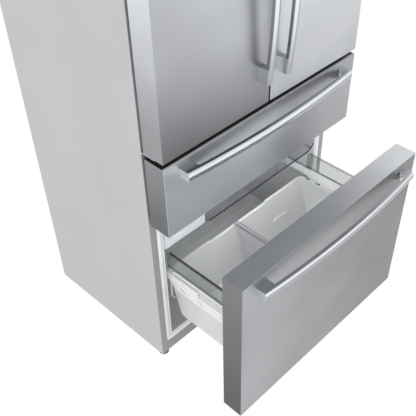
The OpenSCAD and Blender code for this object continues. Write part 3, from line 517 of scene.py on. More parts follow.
def add_lathe(bm, centre, profile, axis, sides, ring=False):
    """A turned form. profile is (radius, height) points, closed where ring is true."""
    loft(bm, [round_loop(centre, radius, sides, axis, height) for radius, height in profile], ring)


def add_bar(bm, outline, axis, start, end):
    """An outline pulled along an axis. Its points are in the order of the other two axes."""
    loops = []
    for place in (start, end):
        if axis == "X":
            loops.append([(place, u, v) for u, v in outline])
        else:
            loops.append([(u, place, v) for u, v in outline])
    loft(bm, loops)


# Shares of a pan head's radius and of its height, round its edge and into its recess.
PAN_HEAD = ((1.0, 0.0), (1.0, 0.35), (0.85, 0.8), (0.55, 1.0), (0.5, 1.0), (0.42, 0.55))
SCREW_H = 2 * MM


def add_screw(bm, place, radius):
    """A pan head that stands up to the rear."""
    add_lathe(bm, place, [(radius * r, SCREW_H * h) for r, h in PAN_HEAD], "Y", 16)


def soften(node, width_mm):
    """Rounds a frame node's edges with a modifier."""
    bevel = frame["nodes"][node].modifiers.new("edge", "BEVEL")
    bevel.width = width_mm * MM
    bevel.segments = 2
    bevel.limit_method = "ANGLE"
    bevel.angle_limit = math.radians(50)
    bevel.harden_normals = True


def thicken(piece, mm):
    """Gives a skin its thickness, away from the side that shows."""
    sheet = piece.modifiers.new("sheet", "SOLIDIFY")
    sheet.thickness = mm * MM
    sheet.offset = -1


# Outer case and back

CASE_T = 1.0  # mm
CASE_R = 2.5 * MM
FLANGE_W = 27.5 * MM


def make_case():
    """Pre-painted steel folded round the sides and top, with a flange turned in at the front."""
    bm = bmesh.new()
    add_box(bm, CASE_LO, CASE_HI)

    def folded(edge):
        ends = [v.co for v in edge.verts]
        front = all(abs(p.y - CASE_LO.y) < NEAR for p in ends)
        top = all(abs(p.z - CASE_HI.z) < NEAR for p in ends)
        low = all(abs(p.z - CASE_LO.z) < NEAR for p in ends)
        back = all(abs(p.y - CASE_HI.y) < NEAR for p in ends)
        return (front or top) and not low and not back

    round_edges(bm, [e for e in bm.edges if folded(e)], CASE_R, 3)
    inner_x = HALF_W - FLANGE_W
    inner_z = CASE_HI.z - FLANGE_W
    cut_across(bm, (inner_x, 0, 0), (1, 0, 0))
    cut_across(bm, (-inner_x, 0, 0), (1, 0, 0))
    cut_across(bm, (0, 0, inner_z), (0, 0, 1))
    bm.normal_update()
    open_faces = []
    for face in bm.faces:
        centre = face.calc_center_median()
        window = face.normal.y < -0.9 and abs(centre.x) < inner_x and centre.z < inner_z
        if window or face.normal.y > 0.9 or face.normal.z < -0.9:
            open_faces.append(face)
    bmesh.ops.delete(bm, geom=open_faces, context="FACES")
    # Faces toward the front, the flange, take the darker copy of the coat: painted shade.
    for face in bm.faces:
        face.material_index = int(face.normal.y < -0.9)
    piece = finish_mesh("case_shell", bm, "cabinet", SIDE_PAINT, ("outer_case",))
    piece.data.materials.append(FLANGE_SHADE_PAINT)
    thicken(piece, CASE_T)


PANEL_FIELDS = 3
FIELD_MARGIN = 55 * MM
FIELD_R = 30 * MM
FIELD_RISE = 2.2 * MM
FIELD_STEPS = ((0.0, -0.5 * MM), (0.0, 0.0), (FIELD_RISE, 0.7 * FIELD_RISE),
               (2.5 * FIELD_RISE, FIELD_RISE))  # (inset, rise) of a pressed field
BACK_SCREW_R = 4 * MM
SCREW_PITCH = 190 * MM
SCREW_IN_X = 12 * MM
SCREW_IN_Z = 14 * MM
SCREW_SPANS = 5  # spaces between the screws along the panel's top and foot


def make_back_panel():
    """Galvanised sheet with pressed fields and a row of screws along each edge."""
    lo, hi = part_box("back_panel")
    bm = bmesh.new()
    add_box(bm, lo, hi)
    field_w = (hi.x - lo.x - FIELD_MARGIN * (PANEL_FIELDS + 1)) / PANEL_FIELDS
    for i in range(PANEL_FIELDS):
        x0 = lo.x + FIELD_MARGIN + i * (field_w + FIELD_MARGIN)
        a = (x0, hi.y, lo.z + 2 * FIELD_MARGIN)
        b = (x0 + field_w, hi.y, hi.z - 2 * FIELD_MARGIN)
        loft(bm, [upright_loop(a, b, hi.y + rise, inset, FIELD_R) for inset, rise in FIELD_STEPS])
    finish_mesh("back_sheet", bm, "cabinet", GALVANISED, ("back_panel",))
    screws = bmesh.new()
    low, high = lo.z + SCREW_IN_Z, hi.z - SCREW_IN_Z
    rows = int((hi.z - lo.z) / SCREW_PITCH)
    for i in range(rows + 1):
        for x in (lo.x + SCREW_IN_X, hi.x - SCREW_IN_X):
            add_screw(screws, (x, hi.y, low + i * (high - low) / rows), BACK_SCREW_R)
    for i in range(1, SCREW_SPANS):
        for z in (low, high):
            x = lo.x + i * (hi.x - lo.x) / SCREW_SPANS
            add_screw(screws, (x, hi.y, z), BACK_SCREW_R)
    finish_mesh("back_screws", screws, "cabinet", ZINC)


make_case()
make_back_panel()


# Liners of the compartments

LINER_T = 2.0  # mm
LINER_R = 8 * MM
LEVEL_NEAR = 0.1 * MM  # within which a face lies at a level
ROOM_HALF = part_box("air_ducts")[1].x
LIP_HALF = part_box("fridge_liner")[1].x
LIP_BAND = (5 * MM, 12 * MM)  # a grey band along the lips of the liners
FREEZER_STEP_Y = FRONT_Y + 370 * MM  # where the freezer's floor ends at its step
FREEZER_FLOOR = 100 * MM
DUCT_END = 10 * MM  # from the duct's upper end to the ceiling


def add_cavity(bm, outline, lips):
    """The skin of a room that is open at its front. outline runs in (y, z) from the front's
    lower corner round the back to its upper corner, and lips are its widths below and above."""
    front = outline[0][0]
    left = [bm.verts.new((-ROOM_HALF, y, z)) for y, z in outline]
    right = [bm.verts.new((ROOM_HALF, y, z)) for y, z in outline]
    bm.faces.new(left)
    bm.faces.new(list(reversed(right)))
    for i in range(len(outline) - 1):
        bm.faces.new((left[i + 1], left[i], right[i], right[i + 1]))

    def at_front(edge):
        return all(abs(v.co.y - front) < NEAR for v in edge.verts)

    round_edges(bm, [e for e in bm.edges if not at_front(e)], LINER_R, 4)
    rim = [e for e in bm.edges if at_front(e) and e.is_boundary]
    made = bmesh.ops.extrude_edge_only(bm, edges=rim)["geom"]
    low, high = outline[0][1], outline[-1][1]
    side = LIP_HALF - ROOM_HALF
    for vert in (g for g in made if isinstance(g, bmesh.types.BMVert)):
        over_x = max(abs(vert.co.x) - (ROOM_HALF - LINER_R), 0.0) * math.copysign(1.0, vert.co.x)
        over_z = max(vert.co.z - (high - LINER_R), 0.0) - max(low + LINER_R - vert.co.z, 0.0)
        most = max(abs(over_x), abs(over_z), NEAR)
        vert.co.x += side * over_x / most
        vert.co.z += (lips[1] if over_z > 0 else lips[0]) * over_z / most


def make_liner(node, back, lips, room):
    """A vacuum formed liner with rounded corners, whose lips turn out over the front.

    back is the outline of its rear, in (y, z) from its floor up, and room its material."""
    bm = bmesh.new()
    add_cavity(bm, [(FRONT_Y, back[0][1]), *back, (FRONT_Y, back[-1][1])], lips)
    for out in LIP_BAND:
        cut_across(bm, (ROOM_HALF + out, 0, 0), (1, 0, 0))
        cut_across(bm, (-ROOM_HALF - out, 0, 0), (1, 0, 0))
        cut_across(bm, (0, 0, FREEZER_FLOOR - out), (0, 0, 1))
    bm.normal_update()
    # Lips are white with a grey band along them; the freezer's floor is grey as painted shade.
    for face in bm.faces:
        centre = face.calc_center_median()
        out = max(abs(centre.x) - ROOM_HALF, FREEZER_FLOOR - centre.z)
        if abs(face.normal.y) > 0.9 and abs(centre.y - FRONT_Y) < LEVEL_NEAR:
            face.material_index = 2 if LIP_BAND[0] < out < LIP_BAND[1] else 1
        elif abs(face.normal.z) > 0.9 and centre.z < FREEZER_FLOOR + LEVEL_NEAR:
            face.material_index = 2
    piece = finish_mesh(node + "_skin", bm, "cabinet", room, (node,), inward=True)
    piece.data.materials.append(LINER_ABS)
    piece.data.materials.append(FLOOR_SHADE_AND_LIP_GREY)
    thicken(piece, LINER_T)


def make_liners():
    """The liners of the fridge, the chiller and the freezer, whose floor is stepped."""
    wall = LINER_T * MM
    lo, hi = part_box("fridge_liner")
    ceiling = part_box("air_ducts")[1].z + DUCT_END
    make_liner("fridge_liner", [(hi.y - wall, lo.z + wall), (hi.y - wall, ceiling)],
               (wall, hi.z - ceiling), LINER_ABS)
    lo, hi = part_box("chiller_liner")
    make_liner("chiller_liner", [(hi.y - wall, lo.z + wall), (hi.y - wall, hi.z - wall)],
               (wall, wall), LINER_ABS)
    lo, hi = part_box("freezer_liner")
    step_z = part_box("air_ducts")[0].z
    make_liner("freezer_liner", [(FREEZER_STEP_Y, FREEZER_FLOOR), (FREEZER_STEP_Y, step_z),
                                 (hi.y - wall, step_z), (hi.y - wall, hi.z - wall)],
               (FREEZER_FLOOR - lo.z, wall), FREEZER_ROOM_SHADE)


FLOOR_RIBS = 6
FLOOR_RIB_PITCH = 13 * MM
FLOOR_RIB_HALF = ROOM_HALF - 60 * MM
FLOOR_RIB_BACK = 20 * MM  # from the step to the first rib
FLOOR_RIB_W = 4 * MM
FLOOR_RIB_TALL = 3 * MM
FLOOR_RIB_R = 1.5 * MM


def make_floor_ribs():
    """Low ribs across the freezer's floor, in front of its step."""
    bm = bmesh.new()
    for k in range(FLOOR_RIBS):
        y = FREEZER_STEP_Y - FLOOR_RIB_BACK - k * FLOOR_RIB_PITCH
        add_box(bm, (-FLOOR_RIB_HALF, y, FREEZER_FLOOR - SINK),
                (FLOOR_RIB_HALF, y + FLOOR_RIB_W, FREEZER_FLOOR + FLOOR_RIB_TALL), FLOOR_RIB_R)
    finish_mesh("freezer_floor_ribs", bm, "cabinet", FREEZER_ROOM_SHADE)


SHELF_Z = [z * MM for z in (1169.9, 1358.1, 1534.8)]
LEDGE_OUT = 6 * MM
LEDGE_H = 5 * MM
LEDGE_R = 1.5 * MM


def make_shelf_ledges():
    """Ledges formed in the liner's side walls, under each shelf."""
    bm = bmesh.new()
    lo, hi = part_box("shelves")
    for z in SHELF_Z:
        add_pair(bm, (ROOM_HALF - LEDGE_OUT, ROOM_HALF), (lo.y, hi.y), (z - LEDGE_H, z), LEDGE_R)
    finish_mesh("shelf_ledges", bm, "cabinet", LINER_ABS)


make_liners()
make_floor_ribs()
make_shelf_ledges()


# Deep bin of the freezer drawer

BIN_WALL = 2.5 * MM
BIN_R = 24 * MM
BIN_DRAFT = 8 * MM
BIN_LEAN = 52 * MM
BIN_SHELF = 3 * MM
BIN_RIM = 7 * MM
BIN_RIM_H = 8 * MM
DIP_HALF = 150 * MM  # the rim drops over this half width at its back
DIP_DEPTH = 6 * MM
DIP_SLOPE = 5 * MM
PAD_STEPS = ((0.0, -0.5 * MM), (0.0, 0.5 * MM), (1.2 * MM, 1.2 * MM))  # (inset, rise)
PAD_R = 18 * MM
PAD_IN = 50 * MM
PAD_GAP = (-40 * MM, -4 * MM)  # the divider stands between the two pads
PAD_FRONT = 40 * MM
PAD_BACK = 100 * MM
STRIP_LO = (169 * MM, 276 * MM)  # a raised strip on the rear wall, in (x, z)
STRIP_HI = (248 * MM, 288 * MM)
STRIP_R = 5.5 * MM
STRIP_STEPS = ((0.0, 0.0), (6 * MM, 0.0), (8 * MM, 2 * MM))  # (out, inset)


def make_deep_bin():
    """Milky moulded bin whose rim drops in the middle of its back."""
    lo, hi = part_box("freezer_bin")
    middle = (lo.y + hi.y) / 2

    def dip(x, y):
        past = DIP_HALF + DIP_SLOPE - abs(x)
        return DIP_DEPTH * min(1.0, past / DIP_SLOPE) if y >= middle and past > 0 else 0.0

    def rear_face(z):
        return hi.y - BIN_SHELF - BIN_RIM - BIN_WALL - BIN_LEAN * (hi.z - z) / (hi.z - lo.z)

    cuts = (-DIP_HALF - DIP_SLOPE, -DIP_HALF, DIP_HALF, DIP_HALF + DIP_SLOPE)
    bm = bmesh.new()
    add_tub(bm, lo, hi, BIN_WALL, BIN_R, BIN_DRAFT, BIN_RIM, BIN_RIM_H, cuts, dip, BIN_LEAN,
            BIN_SHELF)
    floor_z = lo.z + BIN_WALL
    for x0, x1 in ((lo.x + PAD_IN, PAD_GAP[0]), (PAD_GAP[1], hi.x - PAD_IN)):
        a = (x0, lo.y + PAD_FRONT)
        b = (x1, hi.y - PAD_BACK)
        loft(bm, [level_loop(a, b, floor_z + rise, inset, PAD_R) for inset, rise in PAD_STEPS])
    strip = []
    for out, inset in STRIP_STEPS:
        points = round_rect([u + inset for u in STRIP_LO], [u - inset for u in STRIP_HI],
                            STRIP_R - inset)
        strip.append([(x, rear_face(z) - out, z) for x, z in points])
    loft(bm, strip)
    finish_mesh("deep_bin", bm, "freezer_drawer", BIN_PP, ("freezer_bin",))


CLIPS_BACK = (30, 81)  # mm from the bin's rear end
CLIP_IN = (7, 1)  # mm in from its side
# A clip's plate and its nib: mm forward, mm up from the rim, edge radius in mm.
CLIP_PARTS = (((22, 0), (-1, 0.8), 0.5), ((20, 12), (0, 4), 1))


def make_rim_clips():
    """Two hooked clips on each side of the bin's rim."""
    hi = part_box("freezer_bin")[1]
    clips = bmesh.new()
    for back in CLIPS_BACK:
        for along, up, radius in CLIP_PARTS:
            add_pair(clips, [hi.x - into * MM for into in CLIP_IN],
                     [hi.y - (back + a) * MM for a in along], [hi.z + u * MM for u in up],
                     radius * MM)
    finish_mesh("rim_clips", clips, "freezer_drawer", DARK_GREY_ABS_AND_SHADE_LINES)


make_rim_clips()
make_deep_bin()


# Divider of the deep bin

FLANGE_HALF = 11.0  # mm
RIDGE_PITCH = 3  # mm
DIVIDER_LEAN = 54 * MM  # the web's rear edge follows the leaning wall
DIVIDER_LINES = (-10, -3.5, 10)  # mm from the flange's middle
DIVIDER_LINE_HALF = 0.5 * MM
DIVIDER_LINE_IN = 2 * MM
DIVIDER_LINE_UP = (-1.6 * MM, 0.2 * MM)
WEB_IN = 0.7 * MM
WEB_UNDER = 2 * MM  # the web ends this far under the flange's top
FLANGE_IN = 1 * MM
TAB_HALF = 9 * MM  # the tab across the web's front end
TAB_ALONG = (1.5 * MM, 4.5 * MM)
TAB_DOWN = 12 * MM


def flange_outline():
    """A ridged cap with turned down edges, in mm from its middle and its top."""
    points = [(-FLANGE_HALF, -4), (-FLANGE_HALF, -1)]
    for k in range(-3, 4):
        ridge = k % 2 - 1
        points += [(RIDGE_PITCH * k - 0.8, ridge), (RIDGE_PITCH * k + 0.8, ridge)]
    return points + [(FLANGE_HALF, -1), (FLANGE_HALF, -4), (FLANGE_HALF - 1, -4),
                     (FLANGE_HALF - 1.5, -2.5), (1.5 - FLANGE_HALF, -2.5), (1 - FLANGE_HALF, -4)]


def make_divider():
    """Clear web under a ridged flange that sits over the bin's rims."""
    lo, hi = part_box("bin_divider")
    middle = (lo.x + hi.x) / 2
    under = hi.z - WEB_UNDER
    bm = bmesh.new()
    web = [(lo.y, lo.z), (hi.y - DIVIDER_LEAN, lo.z), (hi.y, under), (lo.y, under)]
    add_bar(bm, web, "X", lo.x + WEB_IN, hi.x - WEB_IN)
    flange = [(middle + x * MM, hi.z + z * MM) for x, z in flange_outline()]
    add_bar(bm, flange, "Y", lo.y + FLANGE_IN, hi.y - FLANGE_IN)
    add_box(bm, (middle - TAB_HALF, lo.y + TAB_ALONG[0], lo.z),
            (middle + TAB_HALF, lo.y + TAB_ALONG[1], hi.z - TAB_DOWN), SOFT_R)
    finish_mesh("divider_web", bm, "freezer_drawer", THIN_PS, ("bin_divider",))
    # Dark strips painted as the shade lines that the clear flange's edges show.
    ribs = bmesh.new()
    low, high = DIVIDER_LINE_UP
    for off in DIVIDER_LINES:
        x = middle + off * MM
        add_box(ribs, (x - DIVIDER_LINE_HALF, lo.y + DIVIDER_LINE_IN, hi.z + low),
                (x + DIVIDER_LINE_HALF, hi.y - DIVIDER_LINE_IN, hi.z + high), FINE_R, 1)
    finish_mesh("divider_ribs", ribs, "freezer_drawer", DARK_GREY_ABS_AND_SHADE_LINES)


make_divider()


# Clear side panels of the freezer drawer

GUARD_T = 3 * MM
GUARD_SIDE = 0.5 * MM  # how far a panel's outside lies in from its box
GUARD_R = 16 * MM
GUARD_RIM = 6 * MM
GUARD_RIM_OUT = 1 * MM
GUARD_FOOT_END = 2 * MM
GUARD_PAST = 24 * MM  # the panel's rear end runs past its slide frame
LINE_W = 4.4 * MM  # the dark line's width, then how far it goes past the rim on each side
LINE_START = 1 * MM
LINE_UNDER = 0.5 * MM
LINE_OVER = 0.6 * MM
LINE_PAST = 0.3 * MM


def guard_outline(lo, rear, top):
    """A side panel's outline in (y, z), rounded at its rear upper corner."""
    points = [(lo.y, top), (lo.y, lo.z), (rear, lo.z)]
    for k in range(7):
        angle = k / 6 * math.pi / 2
        points.append((rear - GUARD_R + GUARD_R * math.cos(angle),
                       top - GUARD_R + GUARD_R * math.sin(angle)))
    return points


def make_guards():
    """Clear side panels with thick rims, and a dark line along the left rim's inner edge."""
    lo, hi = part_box("freezer_side_panels")
    rear = hi.y + GUARD_PAST
    rim_x = (hi.x - GUARD_RIM, hi.x + GUARD_RIM_OUT)
    bm = bmesh.new()
    for side in (-1, 1):
        add_bar(bm, guard_outline(lo, rear, hi.z), "X", side * (hi.x - GUARD_T),
                side * (hi.x - GUARD_SIDE))
    add_pair(bm, rim_x, (lo.y, rear - GUARD_R), (hi.z - GUARD_RIM, hi.z), SOFT_R)
    add_pair(bm, rim_x, (lo.y, rear - GUARD_FOOT_END), (lo.z, lo.z + GUARD_RIM), SOFT_R)
    finish_mesh("guard_panels", bm, "freezer_drawer", CLEAR_PS,
                ("freezer_side_panels",))
    lines = bmesh.new()
    edge = -hi.x + GUARD_RIM
    add_box(lines, (edge - LINE_W, lo.y + LINE_START, hi.z - GUARD_RIM - LINE_UNDER),
            (edge + LINE_PAST, rear - GUARD_R, hi.z + LINE_OVER), FINE_R, 1)
    finish_mesh("guard_lines", lines, "freezer_drawer", BLACK_PP_AND_PAINTED_SHADE)


make_guards()


# Side frames and slides of the drawers

FRAME_LOW = 336 * MM
FRAME_IN = 7.0
FRAME_TALL = 94
FRAME_R = 13 * MM
# In mm, outward from the frame's inner face and down from its top.
FRAME_BANDS = ((0, 0), (5.5, 0), (7, 1.5), (7, 9), (4, 9.8), (4, 13.2), (7, 14), (7, 22),
               (4, 22.8), (4, 26.2), (7, 27), (7, 35), (4, 35.8), (4, 38.6), (7, 39.4), (7, 44),
               (6, 45), (4, 45), (4, 92.5), (3, 94), (1.5, 94), (1.5, 45), (0, 45))
GROOVES_DOWN = (11.5, 24.5)  # black lines painted as the shade in the first two grooves
GROOVE_IN = (3.2 * MM, 1.2 * MM)
GROOVE_UP = (-1.4 * MM, 1.2 * MM)
DASHES_DOWN = 37.2  # the third groove's row of holes, drawn as black dashes of painted shade
DASH_IN = (3.2 * MM, 0.8 * MM)
DASH_UP = (-1.1 * MM, 1.1 * MM)
DASH_PITCH = 9 * MM
DASH_LEN = 6 * MM
HOOK_IN = (4 * MM, 0.6 * MM)
HOOK_PLACES = (0.18, 0.52, 0.8)  # shares of the frame's length
HOOK = (((0, 14), (14, 18)), ((10, 14), (18, 27)), ((14, 26), (24, 28)))  # mm along and up


def add_frame_bands(bm, hi, tall, front_y, rear_y):
    """The banded web on both sides, its upper corner rounded at the rear."""
    steps = [FRAME_R * (1 - math.cos(k / 6 * math.pi / 2)) for k in range(7)]
    for side in (-1, 1):
        loops = []
        for back in [rear_y - front_y] + steps[::-1]:
            short = FRAME_R - min(back, FRAME_R)
            top = hi.z - FRAME_R + math.sqrt(max(FRAME_R ** 2 - short ** 2, 0.0))
            loops.append([(side * (hi.x + (out - FRAME_IN) * MM), rear_y - back,
                           min(hi.z - down * MM * tall, top)) for out, down in FRAME_BANDS])
        loft(bm, loops)


def make_side_frames(node, name, body, drop, rear_y):
    """White side frames: three raised bands over a thin web, with hooks along its foot."""
    lo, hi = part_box(node)
    tall = (hi.z - drop) / (FRAME_TALL * MM)
    bm = bmesh.new()
    add_frame_bands(bm, hi, tall, lo.y, rear_y)
    for share in HOOK_PLACES:
        y = lo.y + share * (rear_y - lo.y)
        for along, up in HOOK:
            add_pair(bm, [hi.x - into for into in HOOK_IN], [y + a * MM for a in along],
                     [drop + u * MM for u in up], SOFT_R)
    # Black strips painted as the shade in the grooves and in the holes.
    lines = bmesh.new()
    for down in GROOVES_DOWN:
        z = hi.z - down * MM * tall
        add_pair(lines, [hi.x - into for into in GROOVE_IN], (lo.y, rear_y - FRAME_R),
                 [z + up for up in GROOVE_UP])
    z = hi.z - DASHES_DOWN * MM * tall
    for k in range(int((rear_y - FRAME_R - lo.y) / DASH_PITCH)):
        y = lo.y + k * DASH_PITCH
        add_pair(lines, [hi.x - into for into in DASH_IN], (y, y + DASH_LEN),
                 [z + up for up in DASH_UP])
    finish_mesh(name + "_lines", lines, body, BLACK_PP_AND_PAINTED_SHADE)
    return bm


FRAME_END = 18 * MM  # the frame ends this far short of its arms
ARM_IN = (5 * MM, 2 * MM)
ARM_LAP = 20 * MM
ARM_UP = 14 * MM
ARM_DOWN = 44 * MM
LEG_W = 7 * MM
TOE_LONG = 20 * MM
TOE_TALL = 5 * MM


def make_freezer_frames():
    """The freezer's side frames, with the arms that reach back and down to their slides."""
    node = "freezer_rails_moving"
    lo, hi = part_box(node)
    rear_y = hi.y - FRAME_END
    bm = make_side_frames(node, "freezer_frames", "freezer_drawer", FRAME_LOW, rear_y)
    wide = [hi.x - into for into in ARM_IN]
    add_pair(bm, wide, (rear_y - ARM_LAP, hi.y), (FRAME_LOW + ARM_UP, hi.z - ARM_DOWN), SOFT_R)
    add_pair(bm, wide, (hi.y - LEG_W, hi.y), (lo.z, FRAME_LOW + ARM_LAP), SOFT_R)
    add_pair(bm, wide, (hi.y - TOE_LONG, hi.y), (lo.z, lo.z + TOE_TALL), SOFT_R)
    finish_mesh("freezer_frames", bm, "freezer_drawer", WHITE_ABS, (node,))


MID_W = 6
MID_H = 32.2
# In mm, outward and up.
MID_PROFILE = ((0, 1.2), (1.2, 0), (4.8, 0), (6, 1.2), (6, 9), (4, 11), (4, 21.2), (6, 23.2),
               (6, 31), (4.8, 32.2), (1.2, 32.2), (0, 31), (0, 23.2), (1.6, 21.2), (1.6, 11),
               (0, 9))
MID_ENDS = ((0 * MM, 0.55), (2 * MM, 0.8), (7 * MM, 1.0))  # (in from an end, share of its height)


def make_mid_slides(node, name, body):
    """Roll formed middle slide members, waisted where their balls run."""
    lo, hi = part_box(node)
    middle = (lo.z + hi.z) / 2
    tall = hi.z - lo.z
    places = [(lo.y + into, shrink) for into, shrink in MID_ENDS]
    places += [(hi.y - into, shrink) for into, shrink in reversed(MID_ENDS)]
    bm = bmesh.new()
    for side in (-1, 1):
        loops = []
        for y, shrink in places:
            loops.append([(side * (hi.x + (out - MID_W) * MM), y,
                           middle + (up / MID_H - 0.5) * tall * shrink)
                          for out, up in MID_PROFILE])
        loft(bm, loops)
    finish_mesh(name, bm, body, SLIDE_COAT, (node,))


make_freezer_frames()
make_mid_slides("freezer_rails_mid", "freezer_mid_slides", "freezer_slides")
make_mid_slides("chiller_rails_mid", "chiller_mid_slides", "chiller_slides")


# Freezer: ice bin and tray behind the drawer

# A tub's sizes in mm: its wall, its corners' radius, its draft, its rim and the rim's height.
ICE_TUB = [size * MM for size in (2.5, 14, 3, 4, 5)]
ICE_PULL_IN = 40 * MM
ICE_PULL_ALONG = (0.5 * MM, 6 * MM)
ICE_PULL_DOWN = (26 * MM, 20 * MM)
ICE_PULL_R = 1.5 * MM


def make_ice_bin():
    """A white tub with a pull along its front."""
    lo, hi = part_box("ice_bin")
    bm = bmesh.new()
    add_tub(bm, lo, hi, *ICE_TUB)
    (near, far), (low, high) = ICE_PULL_ALONG, ICE_PULL_DOWN
    add_box(bm, (lo.x + ICE_PULL_IN, lo.y + near, hi.z - low),
            (hi.x - ICE_PULL_IN, lo.y + far, hi.z - high), ICE_PULL_R)
    finish_mesh("ice_tub", bm, "ice_drawer", ICE_ABS, ("ice_bin",))


TRAY_WALL = 2.5 * MM
TRAY_LEFT_R = 8 * MM
TRAY_RIGHT_R = 44 * MM
TRAY_LINE_W = 4.6 * MM
TRAY_LINE_UP = 0.7 * TRAY_RIGHT_R  # how far the dark line follows the sides
TRAY_LINE_END = 4 * MM  # the line's inner edge ends this much higher
TRAY_LINE_OFF = (2.4 * MM, 0.1 * MM)
TRAY_RIM_W = 6 * MM
TRAY_RIM_H = 5 * MM
TRAY_RIM_OUT = 1 * MM
TRAY_RIBS = (30 * MM, 172 * MM, 220 * MM)
TRAY_RIB_HALF = 0.7 * MM
TRAY_RIB_ALONG = (-1.2 * MM, 0.5 * MM)
TRAY_RIB_UP = 4 * MM
TRAY_RIB_DOWN = 3 * MM
TRAY_RIB_R = 0.3 * MM


def trough(lo, hi, inset):
    """Points down a trough's left side, along its floor and up its right side, in (x, z)."""
    points = [(lo.x + inset, hi.z)]
    for cx, turn, radius in ((lo.x + TRAY_LEFT_R, 2, TRAY_LEFT_R),
                             (hi.x - TRAY_RIGHT_R, 3, TRAY_RIGHT_R)):
        for k in range(9):
            angle = (turn + k / 8) * math.pi / 2
            points.append((cx + (radius - inset) * math.cos(angle),
                           lo.z + radius + (radius - inset) * math.sin(angle)))
    return points + [(hi.x - inset, hi.z)]


def make_tray():
    """Clear tray whose right corner is a broad curve, with a dark line along its front's foot."""
    lo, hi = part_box("upper_tray")
    outer = trough(lo, hi, 0.0)
    inner = trough(lo, hi, TRAY_WALL)
    bm = bmesh.new()
    add_bar(bm, outer + inner[::-1], "Y", lo.y, hi.y)
    for y in (lo.y, hi.y - TRAY_WALL):
        add_bar(bm, inner, "Y", y, y + TRAY_WALL)
    for y in (lo.y - TRAY_RIM_OUT, hi.y + TRAY_RIM_OUT - TRAY_RIM_W):
        add_box(bm, (lo.x, y, hi.z - TRAY_RIM_H), (hi.x, y + TRAY_RIM_W, hi.z), SOFT_R)
    finish_mesh("tray_trough", bm, "tray", THIN_PS, ("upper_tray",))
    top = lo.z + TRAY_LINE_UP
    low = [p for p in outer if p[1] < top]
    high = [p for p in trough(lo, hi, TRAY_LINE_W) if p[1] < top + TRAY_LINE_END]
    line = bmesh.new()
    add_bar(line, low + high[::-1], "Y", lo.y - TRAY_LINE_OFF[0], lo.y - TRAY_LINE_OFF[1])
    finish_mesh("tray_line", line, "tray", BLACK_PP_AND_PAINTED_SHADE)
    ribs = bmesh.new()
    near, far = TRAY_RIB_ALONG
    for x in TRAY_RIBS:
        add_box(ribs, (x - TRAY_RIB_HALF, lo.y + near, lo.z + TRAY_RIB_UP),
                (x + TRAY_RIB_HALF, lo.y + far, hi.z - TRAY_RIB_DOWN), TRAY_RIB_R, 1)
    finish_mesh("tray_ribs", ribs, "tray", DARK_GREY_ABS_AND_SHADE_LINES)


make_ice_bin()
make_tray()


# Foot of the cabinet

FOOT_X = 431.0
FOOT_Y = 19.0
# In mm, radius and height.
FOOT_STEPS = ((16, 0), (19, 1), (19, 4), (14.5, 7), (9, 8.5), (8, 10), (8, 14), (11, 14), (11, 21),
              (5, 21), (5, 59))


def make_feet():
    """Screw feet: a broad pad, a collar to turn it by and a stem."""
    profile = [(r * MM, z * MM) for r, z in FOOT_STEPS]
    bm = bmesh.new()
    for side in (-1, 1):
        add_lathe(bm, at(side * FOOT_X, FOOT_Y, 0), profile, "Z", 24)
    finish_mesh("screw_feet", bm, "cabinet", DARK_GREY_ABS_AND_SHADE_LINES, ("levelling_feet",))


# In mm, back from the plinth's front: up from its foot, then down from its top.
PLINTH_FOOT = ((4, 2), (4, 0), (1.5, 2), (0.5, 8))
PLINTH_TOP = ((0.5, 3), (1.5, 1), (3, 0))
PLINTH_INNER = (4, 3)
PLINTH_LIP = 2 * MM
PLINTH_GAP = 0.5 * MM


def make_plinth():
    """A moulded toe plinth with a stepped face."""
    lo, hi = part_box("toe_plinth")
    back, down = PLINTH_INNER
    face = [(lo.y + y * MM, lo.z + up * MM) for y, up in PLINTH_FOOT]
    face += [(lo.y + y * MM, hi.z - z * MM) for y, z in PLINTH_TOP]
    face += [(hi.y, hi.z), (hi.y, hi.z - PLINTH_LIP), (lo.y + back * MM, hi.z - down * MM)]
    half = HALF_W - FLANGE_W - PLINTH_GAP
    bm = bmesh.new()
    add_bar(bm, face, "X", -half, half)
    finish_mesh("plinth_moulding", bm, "cabinet", PLINTH_ABS, ("toe_plinth",))


make_feet()
make_plinth()


# Fridge room: shelves, crispers and door bins

GLASS_T = 4.5 * MM
TRIM_D = 14 * MM
TRIM_OVER = 2.75 * MM  # how far the trims stand over and under their glass
TRIM_R = 2.2 * MM
SIDE_TRIM_W = 5 * MM
SIDE_TRIM_OVER = 1 * MM
PANE_IN_X = 4 * MM
PANE_IN_Y = 3 * MM
PANE_R = 0.5 * MM


def make_shelves():
    """Tempered glass in moulded front and rear trims."""
    lo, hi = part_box("shelves")
    glass = bmesh.new()
    trims = bmesh.new()
    for z in SHELF_Z:
        top = z + GLASS_T
        add_box(glass, (lo.x + PANE_IN_X, lo.y + PANE_IN_Y, z),
                (hi.x - PANE_IN_X, hi.y - PANE_IN_Y, top), PANE_R, 1)
        for y in (lo.y, hi.y - TRIM_D):
            add_box(trims, (lo.x, y, z - TRIM_OVER), (hi.x, y + TRIM_D, top + TRIM_OVER), TRIM_R, 3)
        add_pair(trims, (hi.x - SIDE_TRIM_W, hi.x), (lo.y + TRIM_D, hi.y - TRIM_D),
                 (z - SIDE_TRIM_OVER, top + SIDE_TRIM_OVER), SOFT_R)
    finish_mesh("shelf_panes", glass, "cabinet", GLASS, ("shelves",))
    finish_mesh("shelf_trims", trims, "cabinet", WHITE_ABS, ("shelves",))


CRISPER_TUB = [size * MM for size in (2.5, 18, 5, 4, 6)]
PULL_IN = 24 * MM
# In mm, back from the crisper's front and down from its top.
PULL_PROFILE = ((0, 4), (1, 1), (3.5, 0), (3.9, 30), (3, 31), (1.5, 27), (2, 12))


